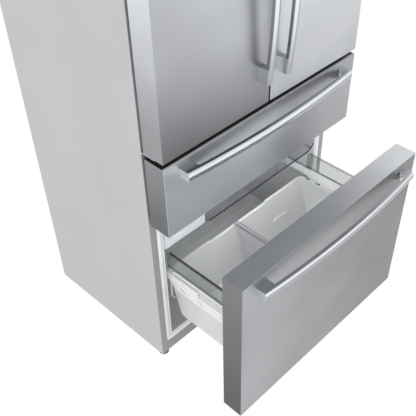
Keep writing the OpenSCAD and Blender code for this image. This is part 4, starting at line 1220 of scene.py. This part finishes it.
def make_crisper(node, body):
    """A clear drawer with a white pull along its front's upper edge."""
    lo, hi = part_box(node)
    bm = bmesh.new()
    add_tub(bm, lo, hi, *CRISPER_TUB)
    finish_mesh(node + "_tub", bm, body, CLEAR_PS, (node,))
    pull = bmesh.new()
    outline = [(lo.y + back * MM, hi.z - down * MM) for back, down in PULL_PROFILE]
    add_bar(pull, outline, "X", lo.x + PULL_IN, hi.x - PULL_IN)
    finish_mesh(node + "_pull", pull, body, WHITE_ABS)


DOOR_BIN_H = 95 * MM
DOOR_BIN_Z = [z * MM for z in (1171.9, 1373.4, 1573.9)]
DOOR_BIN_FRONT = 3 * MM
DOOR_TUB = [size * MM for size in (2.2, 16, 3, 2, 5)]
BAND_IN = 18 * MM
BAND_ALONG = (-3.4 * MM, 0.4 * MM)
BAND_DOWN = (26 * MM, 8 * MM)
BAND_R = 1.2 * MM


def make_door_bins(node, body):
    """Clear door bins, each with a white band along its front."""
    lo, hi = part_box(node)
    (near, far), (low, high) = BAND_ALONG, BAND_DOWN
    bins = bmesh.new()
    bands = bmesh.new()
    for z in DOOR_BIN_Z:
        top = z + DOOR_BIN_H
        add_tub(bins, (lo.x, lo.y + DOOR_BIN_FRONT, z), (hi.x, hi.y, top), *DOOR_TUB)
        add_box(bands, (lo.x + BAND_IN, hi.y + near, top - low),
                (hi.x - BAND_IN, hi.y + far, top - high), BAND_R)
    finish_mesh(node + "_tubs", bins, body, CLEAR_PS, (node,))
    finish_mesh(node + "_bands", bands, body, WHITE_ABS)


FLAP_R = 3 * MM
FLAP_SEALS = (10 * MM, 16 * MM)  # in from the flap's front and from its rear
FLAP_SEAL_W = 6 * MM
FLAP_SEAL_OUT = 0.6 * MM
FLAP_SEAL_END = 12 * MM


def make_flap():
    """The folding strip that closes the gap between the doors, with its soft sealing edges."""
    lo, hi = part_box("door_flap")
    bm = bmesh.new()
    add_box(bm, lo, hi, FLAP_R, 3)
    finish_mesh("flap_bar", bm, "flap", LINER_ABS, ("door_flap",))
    seals = bmesh.new()
    for y in (lo.y + FLAP_SEALS[0], hi.y - FLAP_SEALS[1]):
        add_box(seals, (hi.x - SINK, y, lo.z + FLAP_SEAL_END),
                (hi.x + FLAP_SEAL_OUT, y + FLAP_SEAL_W, hi.z - FLAP_SEAL_END), FLAP_SEAL_OUT, 1)
    finish_mesh("flap_seals", seals, "flap", SEAL_PVC)


make_shelves()
make_crisper("crisper_left", "left_crisper")
make_crisper("crisper_right", "right_crisper")
make_door_bins("left_door_bins", "left_door")
make_door_bins("right_door_bins", "right_door")
make_flap()


# Chiller drawer

CHILLER_BIN_HALF = 371 * MM
CHILLER_TUB = [size * MM for size in (2.5, 20, 5, 5, 5)]
LUG_Z = (792 * MM, 796 * MM)  # the ledges by which the bin sits on its slides
LUG_LAP = 2 * MM
LUG_ENDS = (6 * MM, 40 * MM)


def make_chiller():
    """A broad clear bin between two white side frames."""
    lo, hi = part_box("chiller_bin")
    bm = bmesh.new()
    add_tub(bm, (-CHILLER_BIN_HALF, lo.y, lo.z), (CHILLER_BIN_HALF, hi.y, hi.z), *CHILLER_TUB)
    add_pair(bm, (CHILLER_BIN_HALF - LUG_LAP, hi.x), (lo.y + LUG_ENDS[0], hi.y - LUG_ENDS[1]),
             LUG_Z, SOFT_R)
    finish_mesh("chiller_tub", bm, "chiller_drawer", CLEAR_PS, ("chiller_bin",))
    node = "chiller_rails_moving"
    lo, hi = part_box(node)
    bm = make_side_frames(node, "chiller_frames", "chiller_drawer", lo.z, hi.y)
    finish_mesh("chiller_frames", bm, "chiller_drawer", WHITE_ABS, (node,))


make_chiller()


# Air cover, fans and ice maker

LOUVRE_Z = (1090, 1270, 1450, 1630)  # mm, the lowest louvre of each outlet
LOUVRES = 4
LOUVRE_PITCH = 9  # mm
LOUVRE_HALF = 60 * MM
# In mm, back from the duct's face and up.
LOUVRE_PROFILE = ((1, 0), (-4, 1), (-4.5, 2.5), (1, 6))
LOUVRE_FACE = 13 * MM  # from the duct's rear to the face that carries the louvres
CHEEK_X = (61 * MM, 67 * MM)
CHEEK_OUT = 5 * MM
CHEEK_R = 1.5 * MM
CHEEK_UP = (-5, 38)  # mm, from below the lowest louvre to above the highest
SLOT_COUNT = 9
SLOT_PITCH = 50  # mm
SLOT_FIRST = -200  # mm
SLOT_LONG = 34 * MM
SLOT_OUT = 3 * MM
SLOT_Z = (452 * MM, 456 * MM)
FAN_Z = 565 * MM
GRILLE_RINGS = (16, 30, 44, 55)  # mm
WIRE = ((-1.2, 0.2), (-1.2, -2.2), (1.2, -2.2), (1.2, 0.2))  # in mm, across and out
SPOKES = 6
SPOKE_ENDS = (8 * MM, 57 * MM)
SPOKE_R = 1.3 * MM
HUB_STEPS = ((10, 0), (10, -2), (7, -3.5))  # in mm, radius and place along its axis


def make_louvres():
    """Louvred outlets on the duct between their side cheeks, and a row of slots at its foot."""
    lo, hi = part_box("air_ducts")
    face_y = hi.y - LOUVRE_FACE
    bm = bmesh.new()
    for z in LOUVRE_Z:
        for k in range(LOUVRES):
            outline = [(face_y + back * MM, (z + k * LOUVRE_PITCH + up) * MM)
                       for back, up in LOUVRE_PROFILE]
            add_bar(bm, outline, "X", -LOUVRE_HALF, LOUVRE_HALF)
        add_pair(bm, CHEEK_X, (face_y - CHEEK_OUT, face_y + SINK),
                 [(z + up) * MM for up in CHEEK_UP], CHEEK_R)
    for k in range(SLOT_COUNT):
        x = (SLOT_FIRST + k * SLOT_PITCH) * MM
        add_box(bm, (x, lo.y - SLOT_OUT, SLOT_Z[0]), (x + SLOT_LONG, lo.y + SINK, SLOT_Z[1]),
                SOFT_R)
    finish_mesh("duct_louvres", bm, "cabinet", WHITE_ABS)


def make_fan_grille():
    """A wire grille over the freezer's fan hole: rings, spokes and a hub."""
    centre = Vector((0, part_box("air_ducts")[0].y, FAN_Z))
    bm = bmesh.new()
    for radius in GRILLE_RINGS:
        wire = [((radius + across) * MM, out * MM) for across, out in WIRE]
        add_lathe(bm, centre, wire, "Y", 40, ring=True)
    for k in range(SPOKES):
        angle = k * 2 * math.pi / SPOKES
        way = Vector((math.cos(angle), 0, math.sin(angle)))
        add_rod(bm, centre + way * SPOKE_ENDS[0], centre + way * SPOKE_ENDS[1], SPOKE_R, 8)
    add_lathe(bm, centre, [(r * MM, out * MM) for r, out in HUB_STEPS], "Y", 24)
    finish_mesh("fan_grille", bm, "cabinet", WHITE_ABS)


FEELER_R = 1.6 * MM
FEELER_IN = 14 * MM
FEELER_LONG = 150 * MM
FEELER_START = 6 * MM
FEELER_UNDER = 2 * MM


def make_ice_feeler():
    """The bent wire by which the ice maker feels how full its bin is."""
    lo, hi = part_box("ice_maker")
    z = lo.z - FEELER_UNDER
    start = (lo.x + FEELER_IN, lo.y + FEELER_START, z)
    elbow = (lo.x + FEELER_IN, lo.y + FEELER_LONG, z)
    end = (hi.x - FEELER_IN, lo.y + FEELER_LONG, z)
    bm = bmesh.new()
    add_rod(bm, start, elbow, FEELER_R, 12)
    add_rod(bm, elbow, end, FEELER_R, 12)
    finish_mesh("ice_feeler", bm, "cabinet", ZINC)


make_louvres()
make_fan_grille()
make_ice_feeler()


# Machine compartment and back

VENT_ROWS = 9  # in each of two columns
VENT_X = 150 * MM
VENT_Z = 90 * MM
VENT_PITCH = 14 * MM
VENT_HALF = 47 * MM
# In mm, back from the cover and up.
HOOD_PROFILE = ((0, 6.5), (1, 8), (6, 3), (6, 2), (1, 6.4))
COVER_SPANS = 5  # spaces between the cover's screws
COVER_SCREW_R = 3.5 * MM
COVER_SCREW_IN = 14 * MM
COVER_SCREW_UP = 10 * MM
COVER_SCREW_DOWN = 9 * MM


def make_cover_details():
    """Louvre hoods over the vents and the screws of the cover."""
    lo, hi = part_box("machine_cover")
    hoods = bmesh.new()
    for x in (-VENT_X, VENT_X):
        for row in range(VENT_ROWS):
            z = VENT_Z + row * VENT_PITCH
            outline = [(lo.y + back * MM, z + up * MM) for back, up in HOOD_PROFILE]
            add_bar(hoods, outline, "X", x - VENT_HALF, x + VENT_HALF)
    finish_mesh("vent_hoods", hoods, "cabinet", GALVANISED)
    screws = bmesh.new()
    left, right = lo.x + COVER_SCREW_IN, hi.x - COVER_SCREW_IN
    for k in range(COVER_SPANS + 1):
        for z in (lo.z + COVER_SCREW_UP, hi.z - COVER_SCREW_DOWN):
            place = (left + k * (right - left) / COVER_SPANS, lo.y + SINK, z)
            add_screw(screws, place, COVER_SCREW_R)
    finish_mesh("cover_screws", screws, "cabinet", ZINC)


# Shares of the shell's height and of its width, with the welded seam at its waist.
SHELL_STEPS = ((0.0, 0.86), (0.03, 0.93), (0.1, 0.99), (0.45, 1.0), (0.455, 1.04), (0.5, 1.04),
               (0.505, 1.0), (0.85, 0.97), (0.95, 0.86), (1.0, 0.62))
SHELL_LOW = 26 * MM
SHELL_SIDES = 48
SHELL_IN_X = 24 * MM
SHELL_IN_Y = 8 * MM
PLATE_IN = 22 * MM
PLATE_Z = (12 * MM, 16 * MM)
PLATE_R = 1.2 * MM
MOUNT_IN_X = 14 * MM
MOUNT_IN_Y = 38 * MM
# In mm, radius and height of a rubber mount.
MOUNT_STEPS = ((10, 0), (11, 2), (8, 6), (10, 11), (10, 17), (5, 19), (5, 23))
STUB_PLACES = ((-0.5, 0.45), (-0.35, 0.6), (-0.2, 0.4))  # shares of the half width and the height
STUB_ENDS = (12 * MM, 1 * MM)
STUB_R = 3.2 * MM


def make_compressor():
    """Drawn steel shell with its welded seam, on a foot plate with rubber mounts."""
    lo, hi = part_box("compressor")
    middle = (lo + hi) / 2
    half_x = (hi.x - lo.x) / 2 - SHELL_IN_X
    half_y = (hi.y - lo.y) / 2 - SHELL_IN_Y
    tall = hi.z - lo.z - SHELL_LOW
    bm = bmesh.new()
    loops = []
    for up, wide in SHELL_STEPS:
        z = lo.z + SHELL_LOW + up * tall
        turns = [2 * math.pi * k / SHELL_SIDES for k in range(SHELL_SIDES)]
        loops.append([(middle.x + half_x * wide * math.cos(turn),
                       middle.y + half_y * wide * math.sin(turn), z) for turn in turns])
    loft(bm, loops)
    add_box(bm, (lo.x, lo.y + PLATE_IN, lo.z + PLATE_Z[0]),
            (hi.x, hi.y - PLATE_IN, lo.z + PLATE_Z[1]), PLATE_R)
    mount = [(r * MM, z * MM) for r, z in MOUNT_STEPS]
    for x in (lo.x + MOUNT_IN_X, hi.x - MOUNT_IN_X):
        for y in (lo.y + MOUNT_IN_Y, hi.y - MOUNT_IN_Y):
            add_lathe(bm, (x, y, lo.z), mount, "Z", 20)
    finish_mesh("compressor_shell", bm, "cabinet", BLACK_ENAMEL, ("compressor",))
    pipes = bmesh.new()
    for across, up in STUB_PLACES:
        x, z = middle.x + half_x * across, lo.z + tall * up
        add_rod(pipes, (x, lo.y + STUB_ENDS[0], z), (x, lo.y + STUB_ENDS[1], z), STUB_R, 16)
    finish_mesh("compressor_stubs", pipes, "cabinet", COPPER)


ROLLER_W = 18  # mm, as its profile is drawn
ROLLER_D = 44
# In mm, radius and width of the tread and the dished hub on both sides.
ROLLER_STEPS = ((5, 0), (9, 0.5), (14, 2), (18, 1), (21, 0), (22, 1.5), (22, 16.5), (21, 18),
                (18, 17), (14, 16), (9, 17.5), (5, 18))


def make_roller(node, body):
    """A moulded wheel with a rounded tread and a dished hub."""
    lo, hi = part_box(node)
    wide = (hi.x - lo.x) / ROLLER_W
    size = (hi.z - lo.z) / ROLLER_D
    centre = (lo.x, (lo.y + hi.y) / 2, (lo.z + hi.z) / 2)
    bm = bmesh.new()
    add_lathe(bm, centre, [(r * size, x * wide) for r, x in ROLLER_STEPS], "X", 40, ring=True)
    finish_mesh(node + "_wheel", bm, body, BLACK_PP_AND_PAINTED_SHADE, (node,))


make_cover_details()
make_compressor()
make_roller("roller_left", "left_roller")
make_roller("roller_right", "right_roller")


# Edges of the nodes that are kept

KEPT_EDGES = {
    "hinge_covers": 4.0, "door_hinges": 0.8, "front_crossbars": 1.0, "water_valve": 1.0,
    "ice_maker": 1.5, "air_ducts": 0.6, "base_pan": 0.4, "machine_cover": 0.3,
    "condenser_fan": 0.3, "evaporator_fan": 0.3, "fixed_rails": 0.3,
}
for kept, width in KEPT_EDGES.items():
    soften(kept, width)


# Fronts

EDGE_R = 2.4 * MM
FOLD_R = 1.0 * MM
SKIN_BACK_TO_LINER = 2.5 * MM
FOLD_SHOWN = 7 * MM  # how much of the chiller front's top edge is painted light before the black painted shade behind it


def front_steel_with_painted_shade(node, part, painted_light_fades):
    """The fronts' own steel for one side, with that side's painted shade and highlight."""
    return brushed(node.replace("skin", part), FACE_GRAIN, SHEET_LIGHT, SHEET_DARK, SHEET_ROUGH,
                   painted_light_fades)


def make_front(node, body, face, ends, top=(), fold=None):
    """A folded steel front with crisp rounded edges.

    face, ends and top are gradients of painted shade and highlight on those sides. fold is the
    matt grey of a top edge, a painted highlight, whose rear is painted black as shade in its gap."""
    lo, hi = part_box(node)
    back = hi.y - SKIN_BACK_TO_LINER
    bm = bmesh.new()
    add_box(bm, lo, (hi.x, back, hi.z))
    at_face = [e for e in bm.edges if all(abs(v.co.y - lo.y) < NEAR for v in e.verts)]
    upright = [e for e in at_face if abs(e.verts[0].co.x - e.verts[1].co.x) < NEAR]
    round_edges(bm, upright, EDGE_R, 3)
    level = [e for e in bm.edges if abs(e.verts[0].co.z - e.verts[1].co.z) < 0.1 * NEAR
             and all(v.co.y < back - NEAR for v in e.verts)]
    round_edges(bm, level, FOLD_R, 2)
    fold_y = lo.y + FOLD_SHOWN
    if fold:
        cut_across(bm, (0, fold_y, 0), (0, 1, 0))
    bm.normal_update()
    for surface in bm.faces:
        if abs(surface.normal.x) > 0.9:
            surface.material_index = 1
        elif surface.normal.z > 0.9:
            # On the chiller the top behind its fold is black: painted shade in the gap over it.
            in_gap_shade = fold and surface.calc_center_median().y > fold_y
            surface.material_index = 3 if in_gap_shade else 2
    piece = finish_mesh(node.replace("skin", "panel"), bm, body, front_steel_with_painted_shade(node, "face", face),
                        (node,))
    piece.data.materials.append(front_steel_with_painted_shade(node, "return", ends))
    piece.data.materials.append(fold or front_steel_with_painted_shade(node, "top", top))
    if fold:
        piece.data.materials.append(BLACK_PP_AND_PAINTED_SHADE)


# Heights in metres between which the doors' painted shade and highlight change.
LOW_Z = 0.95
MID_Z = 1.3
HIGH_Z = 1.6
SHADE_TOP = CHILLER_HI.z - 40 * MM  # between these heights the chiller's front grows darker: painted shade
SHADE_FOOT = CHILLER_HI.z - 120 * MM
# Each front's face, ends and top carry gradients of painted shade and highlight.
make_front("freezer_door_skin", "freezer_drawer", (("X", -HALF_W, 0.88, HALF_W, 0.55),),
           (("Z", 0.0, 0.2, FREEZER_HI.z, 0.46),), (("X", -0.1, 0.95, HALF_W, 2.1),))
make_front("chiller_door_skin", "chiller_drawer",
           (("X", -0.08, 1.34, 0.15, 0.8), ("X", 0.17, 1.0, 0.33, 1.1),
            ("Z", SHADE_FOOT, 1.0, SHADE_TOP, 0.86)),
           (("Z", CHILLER_LO.z, 0.32, CHILLER_HI.z, 0.6),), fold=FOLD_PAINTED_HIGHLIGHT)
make_front("left_door_skin", "left_door",
           (("X", -HALF_W, 0.75, -0.12, 0.90), ("Z", LOW_Z, 0.54, MID_Z, 0.85)),
           (("Z", LOW_Z, 0.7, HIGH_Z, 1.85),))
make_front("right_door_skin", "right_door", (("Z", LOW_Z, 0.95, HIGH_Z, 1.02),), ())


# Inner liners of the fronts

LINER_IN = 5 * MM
FORM_T = 2.5 * MM
# In mm in from its outside, and as a share of its height.
DIKE = ((0, 0.0), (2, 0.55), (3, 0.9), (5, 1.0), (8.5, 1.0), (10.5, 0.9), (11.2, 0.5), (12, 0.0))
DIKE_HINGE_IN = 46.5 * MM
DIKE_INNER_IN = 56.5 * MM
DIKE_UP = 32 * MM
DIKE_TOP = 54 * MM
# In metres: the raised middle of the freezer front's liner.
PLATEAU_LO = Vector((-0.372, 0, 0.396))
PLATEAU_HI = Vector((0.372, 0, 0.506))
PLATEAU_RISE = 6 * MM
PLATEAU_R = 14 * MM
PLATEAU_EDGE = 3 * MM
PLATE_CORNER_R = 8 * MM
PLATE_EDGE = 0.8 * MM
DIKE_R = 16 * MM


def add_plate(bm, lo, hi, y0, y1, radius, edge):
    """A flat moulded plate across Y, rounded at its corners and at its rear edge."""
    steps = ((y0, 0.0), (y1 - edge, 0.0), (y1 - edge * 0.3, edge * 0.3), (y1, edge))
    loft(bm, [upright_loop(lo, hi, y, inset, radius) for y, inset in steps])


def make_front_liner(node, body, plateau=False, dikes=None):
    """The plastic inside of a front: a plate drawn in from the steel, with its raised forms.

    dikes are how far a door's dikes stand in from its left and its right side."""
    lo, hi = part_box(node)
    into = Vector((LINER_IN, 0, LINER_IN))
    bm = bmesh.new()
    add_plate(bm, lo + into, hi - into, lo.y, lo.y + FORM_T, PLATE_CORNER_R, PLATE_EDGE)
    base = lo.y + SINK
    if plateau:
        add_plate(bm, PLATEAU_LO, PLATEAU_HI, base, lo.y + FORM_T + PLATEAU_RISE, PLATEAU_R,
                  PLATEAU_EDGE)
    if dikes:
        a = (lo.x + dikes[0], 0, lo.z + DIKE_UP)
        b = (hi.x - dikes[1], 0, hi.z - DIKE_TOP)
        profile = [(inset * MM, base + share * (hi.y - base)) for inset, share in DIKE]
        add_ring(bm, a, b, profile, DIKE_R)
    finish_mesh(node + "_form", bm, body, LINER_ABS, (node,))


make_front_liner("freezer_door_liner", "freezer_drawer", plateau=True)
make_front_liner("chiller_door_liner", "chiller_drawer")
make_front_liner("left_door_liner", "left_door", dikes=(DIKE_INNER_IN, DIKE_HINGE_IN))
make_front_liner("right_door_liner", "right_door", dikes=(DIKE_HINGE_IN, DIKE_INNER_IN))


# Handles

BAR_SEGMENTS = 40
POST_LEN = 50 * MM
POST_FILLET = 3 * MM
BAR_THICK = 12 * MM
BAR_END_STAND = 34 * MM
BAR_CROWN = 5 * MM
BAR_EDGE = 1.1 * MM
FLANK_ZONE = 4 * MM  # how far past a post its inner flank's painted light goes
END_ZONE = 2 * MM


def handle_stations(half):
    """Places along the bar from its middle, close together where the posts join it."""
    ends = [0.0, 0.5 * POST_LEN, POST_LEN, POST_LEN + 0.3 * POST_FILLET, POST_LEN + POST_FILLET]
    free = 2 * (half - POST_LEN - POST_FILLET)
    middle = [POST_LEN + POST_FILLET + free * k / BAR_SEGMENTS for k in range(1, BAR_SEGMENTS)]
    places = ends + middle + [2 * half - s for s in reversed(ends)]
    return [s - half for s in places]


def handle_levels(half_w):
    """Places across the bar's face as (offset, how far its edge is drawn in there)."""
    edge = [(-half_w, BAR_EDGE), (-half_w + BAR_EDGE * 0.3, BAR_EDGE * 0.3),
            (-half_w + BAR_EDGE, 0.0)]
    flat = [(half_w * k / 6 * 0.93, 0.0) for k in range(-5, 6)]
    return edge + flat + [(-z, inset) for z, inset in reversed(edge)]


def skin_handle(bm, rows):
    """Faces over the front and rear rows of points, and over the four sides between them."""
    count = len(rows[0][0])
    for (f0, r0), (f1, r1) in zip(rows, rows[1:]):
        for i in range(count - 1):
            bm.faces.new((f0[i], f0[i + 1], f1[i + 1], f1[i]))
            bm.faces.new((r0[i + 1], r0[i], r1[i], r1[i + 1]))
        bm.faces.new((f0[0], f1[0], r1[0], r0[0]))
        bm.faces.new((f0[-1], r0[-1], r1[-1], f1[-1]))
    for front, rear in (rows[0], rows[-1]):
        for i in range(count - 1):
            bm.faces.new((front[i], front[i + 1], rear[i + 1], rear[i]))


def mark_posts(bm, along, middle, half):
    """Sets apart the posts' sides, their tops and, on a level bar, their inner flanks, for their
    copies with painted light and shade.
    """
    for face in bm.faces:
        far = abs(face.calc_center_median()[along] - middle)
        flank = half - POST_LEN - POST_FILLET - FLANK_ZONE < far < half - END_ZONE
        if along == 0 and flank and abs(face.normal.x) > 0.3:
            face.material_index = 3
        elif abs(face.normal.x) > 0.8 and far > half - POST_LEN - END_ZONE:
            face.material_index = 1
        elif face.normal.z > 0.8:
            face.material_index = 2


def make_handle(node, body, material, upright=False):
    """A bowed bar with a crowned face, whose solid ends stand on the front."""
    lo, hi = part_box(node)
    along, across = (2, 0) if upright else (0, 2)  # axes along the bar and across its face
    half = (hi[along] - lo[along]) / 2
    half_w = (hi[across] - lo[across]) / 2
    mid_along = (hi[along] + lo[along]) / 2
    mid_across = (hi[across] + lo[across]) / 2
    reach = hi.y - lo.y
    bow = reach - BAR_CROWN - BAR_END_STAND
    radius = (half * half + bow * bow) / (2 * bow)

    def stand(s):
        """How far the bar's face, at its edges, stands off the front."""
        return reach - BAR_CROWN - (radius - math.sqrt(radius * radius - s * s))

    def gap(s):
        """How far the bar's rear stands off the front: nothing on a post."""
        past = half - abs(s) - POST_LEN
        if past <= 0:
            return 0.0
        return (stand(s) - BAR_THICK) * min(1.0, 0.72 + 0.28 * past / POST_FILLET)

    bm = bmesh.new()
    stations = handle_stations(half)
    rows = []
    for z, inset in handle_levels(half_w):
        crown = BAR_CROWN * (1 - (z / half_w) ** 2)
        front, rear = [], []
        for i, s in enumerate(stations):
            drawn_in = inset if i == 0 else -inset if i == len(stations) - 1 else 0.0
            rear_gap = gap(s) + (inset if gap(s) > 0 else 0.0)
            for row, depth in ((front, stand(s) + crown - inset), (rear, rear_gap)):
                point = [0.0, hi.y - depth, 0.0]
                point[along] = mid_along + s + drawn_in
                point[across] = mid_across + z
                row.append(bm.verts.new(point))
        rows.append((front, rear))
    skin_handle(bm, rows)
    bm.normal_update()
    mark_posts(bm, along, mid_along, half)
    piece = finish_mesh(node + "_bar", bm, body, material, (node,))
    # The posts' ends, tops and inner flanks take copies of the steel with painted light and shade.
    for finish in (POST_END_PAINTED_LIGHT, POST_TOP_PAINTED_LIGHT, FLANK_PAINTED_LIGHT):
        piece.data.materials.append(finish)


make_handle("freezer_door_handle", "freezer_drawer", BAR_STEEL)
make_handle("chiller_door_handle", "chiller_drawer", BAR_STEEL)
make_handle("left_door_handle", "left_door", GRIP_STEEL, upright=True)
make_handle("right_door_handle", "right_door", GRIP_STEEL, upright=True)


# Gaskets

# In mm in from the gasket's outside, and as a share of its depth: two bellows and a flat face.
SEAL_FOLDS = ((0, 0.0), (1.5, 0.0), (3.5, 0.35), (1.2, 0.5), (3.0, 0.7), (0.5, 0.8), (0.5, 0.97),
              (3.0, 1.0), (17.0, 1.0), (19.5, 0.97), (19.5, 0.8), (17.0, 0.7), (18.8, 0.5),
              (16.5, 0.35), (18.5, 0.0), (20, 0.0))
SEAL_R = 6 * MM
FREEZER_SEAL_DROP = 9 * MM


def make_gasket(node, body, drop=0.0):
    """A soft magnetic gasket: a flat sealing face on a folded bellows.

    drop is how much lower than the frame's its upper run lies."""
    lo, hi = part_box(node)
    profile = [(into * MM, lo.y + share * (hi.y - lo.y)) for into, share in SEAL_FOLDS]
    bm = bmesh.new()
    add_ring(bm, lo, (hi.x, hi.y, hi.z - drop), profile, SEAL_R)
    finish_mesh(node + "_bellows", bm, body, SEAL_PVC, (node,))


make_gasket("freezer_door_gasket", "freezer_drawer", FREEZER_SEAL_DROP)
make_gasket("chiller_door_gasket", "chiller_drawer")
make_gasket("left_door_gasket", "left_door")
make_gasket("right_door_gasket", "right_door")


# Floor and sky

FLOOR_HALF = 30.0
FLOOR_NEAR = -1.25  # the lit floor grows brighter from here toward the front
FLOOR_FAR = -2.4
FLOOR_FRONT_GLOW = 2.2


def make_floor():
    """An evenly lit white sheet, brighter toward the camera."""
    mesh = bpy.data.meshes.new("studio_floor")
    corners = ((-1, -1), (1, -1), (1, 1), (-1, 1))
    mesh.from_pydata([(x * FLOOR_HALF, y * FLOOR_HALF, 0) for x, y in corners], [], [(0, 1, 2, 3)])
    material, tree, shader, _ = start_material("lit_studio_floor")
    shader.inputs["Base Color"].default_value = linear("#000000")
    shader.inputs["Roughness"].default_value = 1.0
    shader.inputs["Specular IOR Level"].default_value = 0.0
    shader.inputs["Emission Color"].default_value = linear("#ffffff")
    place = add(tree, "ShaderNodeTexCoord")
    parts = add(tree, "ShaderNodeSeparateXYZ", links={0: place.outputs["Object"]})
    glow = add(tree, "ShaderNodeMapRange",
               {"From Min": FLOOR_NEAR, "From Max": FLOOR_FAR, "To Min": 1.0,
                "To Max": FLOOR_FRONT_GLOW},
               {"Value": parts.outputs["Y"]}, interpolation_type="SMOOTHSTEP")
    tree.links.new(glow.outputs[0], shader.inputs["Emission Strength"])
    mesh.materials.append(material)
    floor = bpy.data.objects.new("studio_floor", mesh)
    bpy.context.scene.collection.objects.link(floor)


FLAG_WAY = Vector((0.55, 0.5, 0.67)).normalized()  # behind and above, to the right
FLAG_EDGE = (0.9, 0.985)  # cosines of the flag's outer and inner edge
FLAG_LEVEL = 0.26
SKY_STEPS = ((0.0, 1.0), (0.18, 0.93), (0.45, 0.72), (0.7, 0.65), (1.0, 0.69))  # (height, level)
SKY_STRENGTH = 1.75


def make_sky():
    """A bright studio: a glowing horizon, an even dome and a dark flag that the metal mirrors."""
    world = bpy.data.worlds.new("studio")
    world.use_nodes = True
    tree = world.node_tree
    way = add(tree, "ShaderNodeTexCoord")
    parts = add(tree, "ShaderNodeSeparateXYZ", links={0: way.outputs["Generated"]})
    ramp = add(tree, "ShaderNodeValToRGB", links={0: parts.outputs["Z"]})
    marks = ramp.color_ramp.elements
    while len(marks) < len(SKY_STEPS):
        marks.new(0.5)
    for mark, (height, level) in zip(marks, SKY_STEPS):
        mark.position = height
        mark.color = (level, level, level, 1.0)
    toward = add(tree, "ShaderNodeVectorMath", {1: FLAG_WAY}, {0: way.outputs["Generated"]},
                 operation="DOT_PRODUCT")
    flag = add(tree, "ShaderNodeMapRange",
               {"From Min": FLAG_EDGE[0], "From Max": FLAG_EDGE[1], "To Min": 1.0,
                "To Max": FLAG_LEVEL}, {"Value": toward.outputs["Value"]})
    shade = add(tree, "ShaderNodeVectorMath", links={0: ramp.outputs[0], 1: flag.outputs[0]},
                operation="MULTIPLY")
    background = tree.nodes["Background"]
    tree.links.new(shade.outputs[0], background.inputs["Color"])
    background.inputs["Strength"].default_value = SKY_STRENGTH
    bpy.context.scene.world = world


make_floor()
make_sky()


# Lamps

def make_lamp(name, place, target, size, watts):
    """A soft panel of light, itself unseen. size is its width and its height."""
    data = bpy.data.lights.new(name, "AREA")
    data.shape = "RECTANGLE"
    data.size, data.size_y = size
    data.energy = watts
    lamp = bpy.data.objects.new(name, data)
    bpy.context.scene.collection.objects.link(lamp)
    lamp.location = place
    lamp.rotation_euler = (Vector(target) - Vector(place)).to_track_quat("-Z", "Y").to_euler()
    lamp.visible_camera = False
    lamp.visible_glossy = False
    lamp.visible_transmission = False


# In the rooms' ceilings, for what the fronts shade: name, mm behind the front, mm up, size, watts.
ROOM_LAMPS = (("freezer_lamp", 120, 640, (0.6, 0.2), 0.9),
              ("chiller_lamp", 120, 918, (0.6, 0.2), 0.5),
              ("fridge_lamp", 200, 1748, (0.6, 0.3), 4.0))
# Between a bar and its front, for the inner side of the bar's right post: node, watts.
BAR_LAMPS = (("freezer_door_handle", 0.75), ("chiller_door_handle", 0.5))
BAR_LAMP_OFF = 20 * MM
BAR_LAMP_SIZE = (0.02, 0.02)


def make_lamps():
    """The lamps of the rooms, the key light, the fills and the lamps behind the bars."""
    for name, back, up, size, watts in ROOM_LAMPS:
        place = at(0, back, up)
        make_lamp(name, place, place - Vector((0, 0.02, 1)), size, watts)
    make_lamp("key_panel", (-0.6, -3.4, 4.4), (0.0, -0.45, 0.4), (1.6, 1.6), 24.0)
    make_lamp("drawer_fill", at(0, 20, 655), at(0, -260, 330), (0.7, 0.06), 2.4)
    make_lamp("front_fill", at(0, -250, 640), at(0, 40, 530), (0.8, 0.1), 0.6)
    for node, watts in BAR_LAMPS:
        lo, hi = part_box(node)
        place = Vector(((lo.x + hi.x) / 2, hi.y - BAR_LAMP_OFF, (lo.z + hi.z) / 2))
        make_lamp(node + "_lamp", place, place + Vector((1, 0, 0)), BAR_LAMP_SIZE, watts)


make_lamps()
bpy.context.scene.view_settings.view_transform = "Standard"

for shown in bpy.data.objects:
    if shown.type == "MESH" and shown.name != "studio_floor":
        flat = shown.modifiers.new("flat_faces", "WEIGHTED_NORMAL")  # keeps broad faces flat
        flat.keep_sharp = True
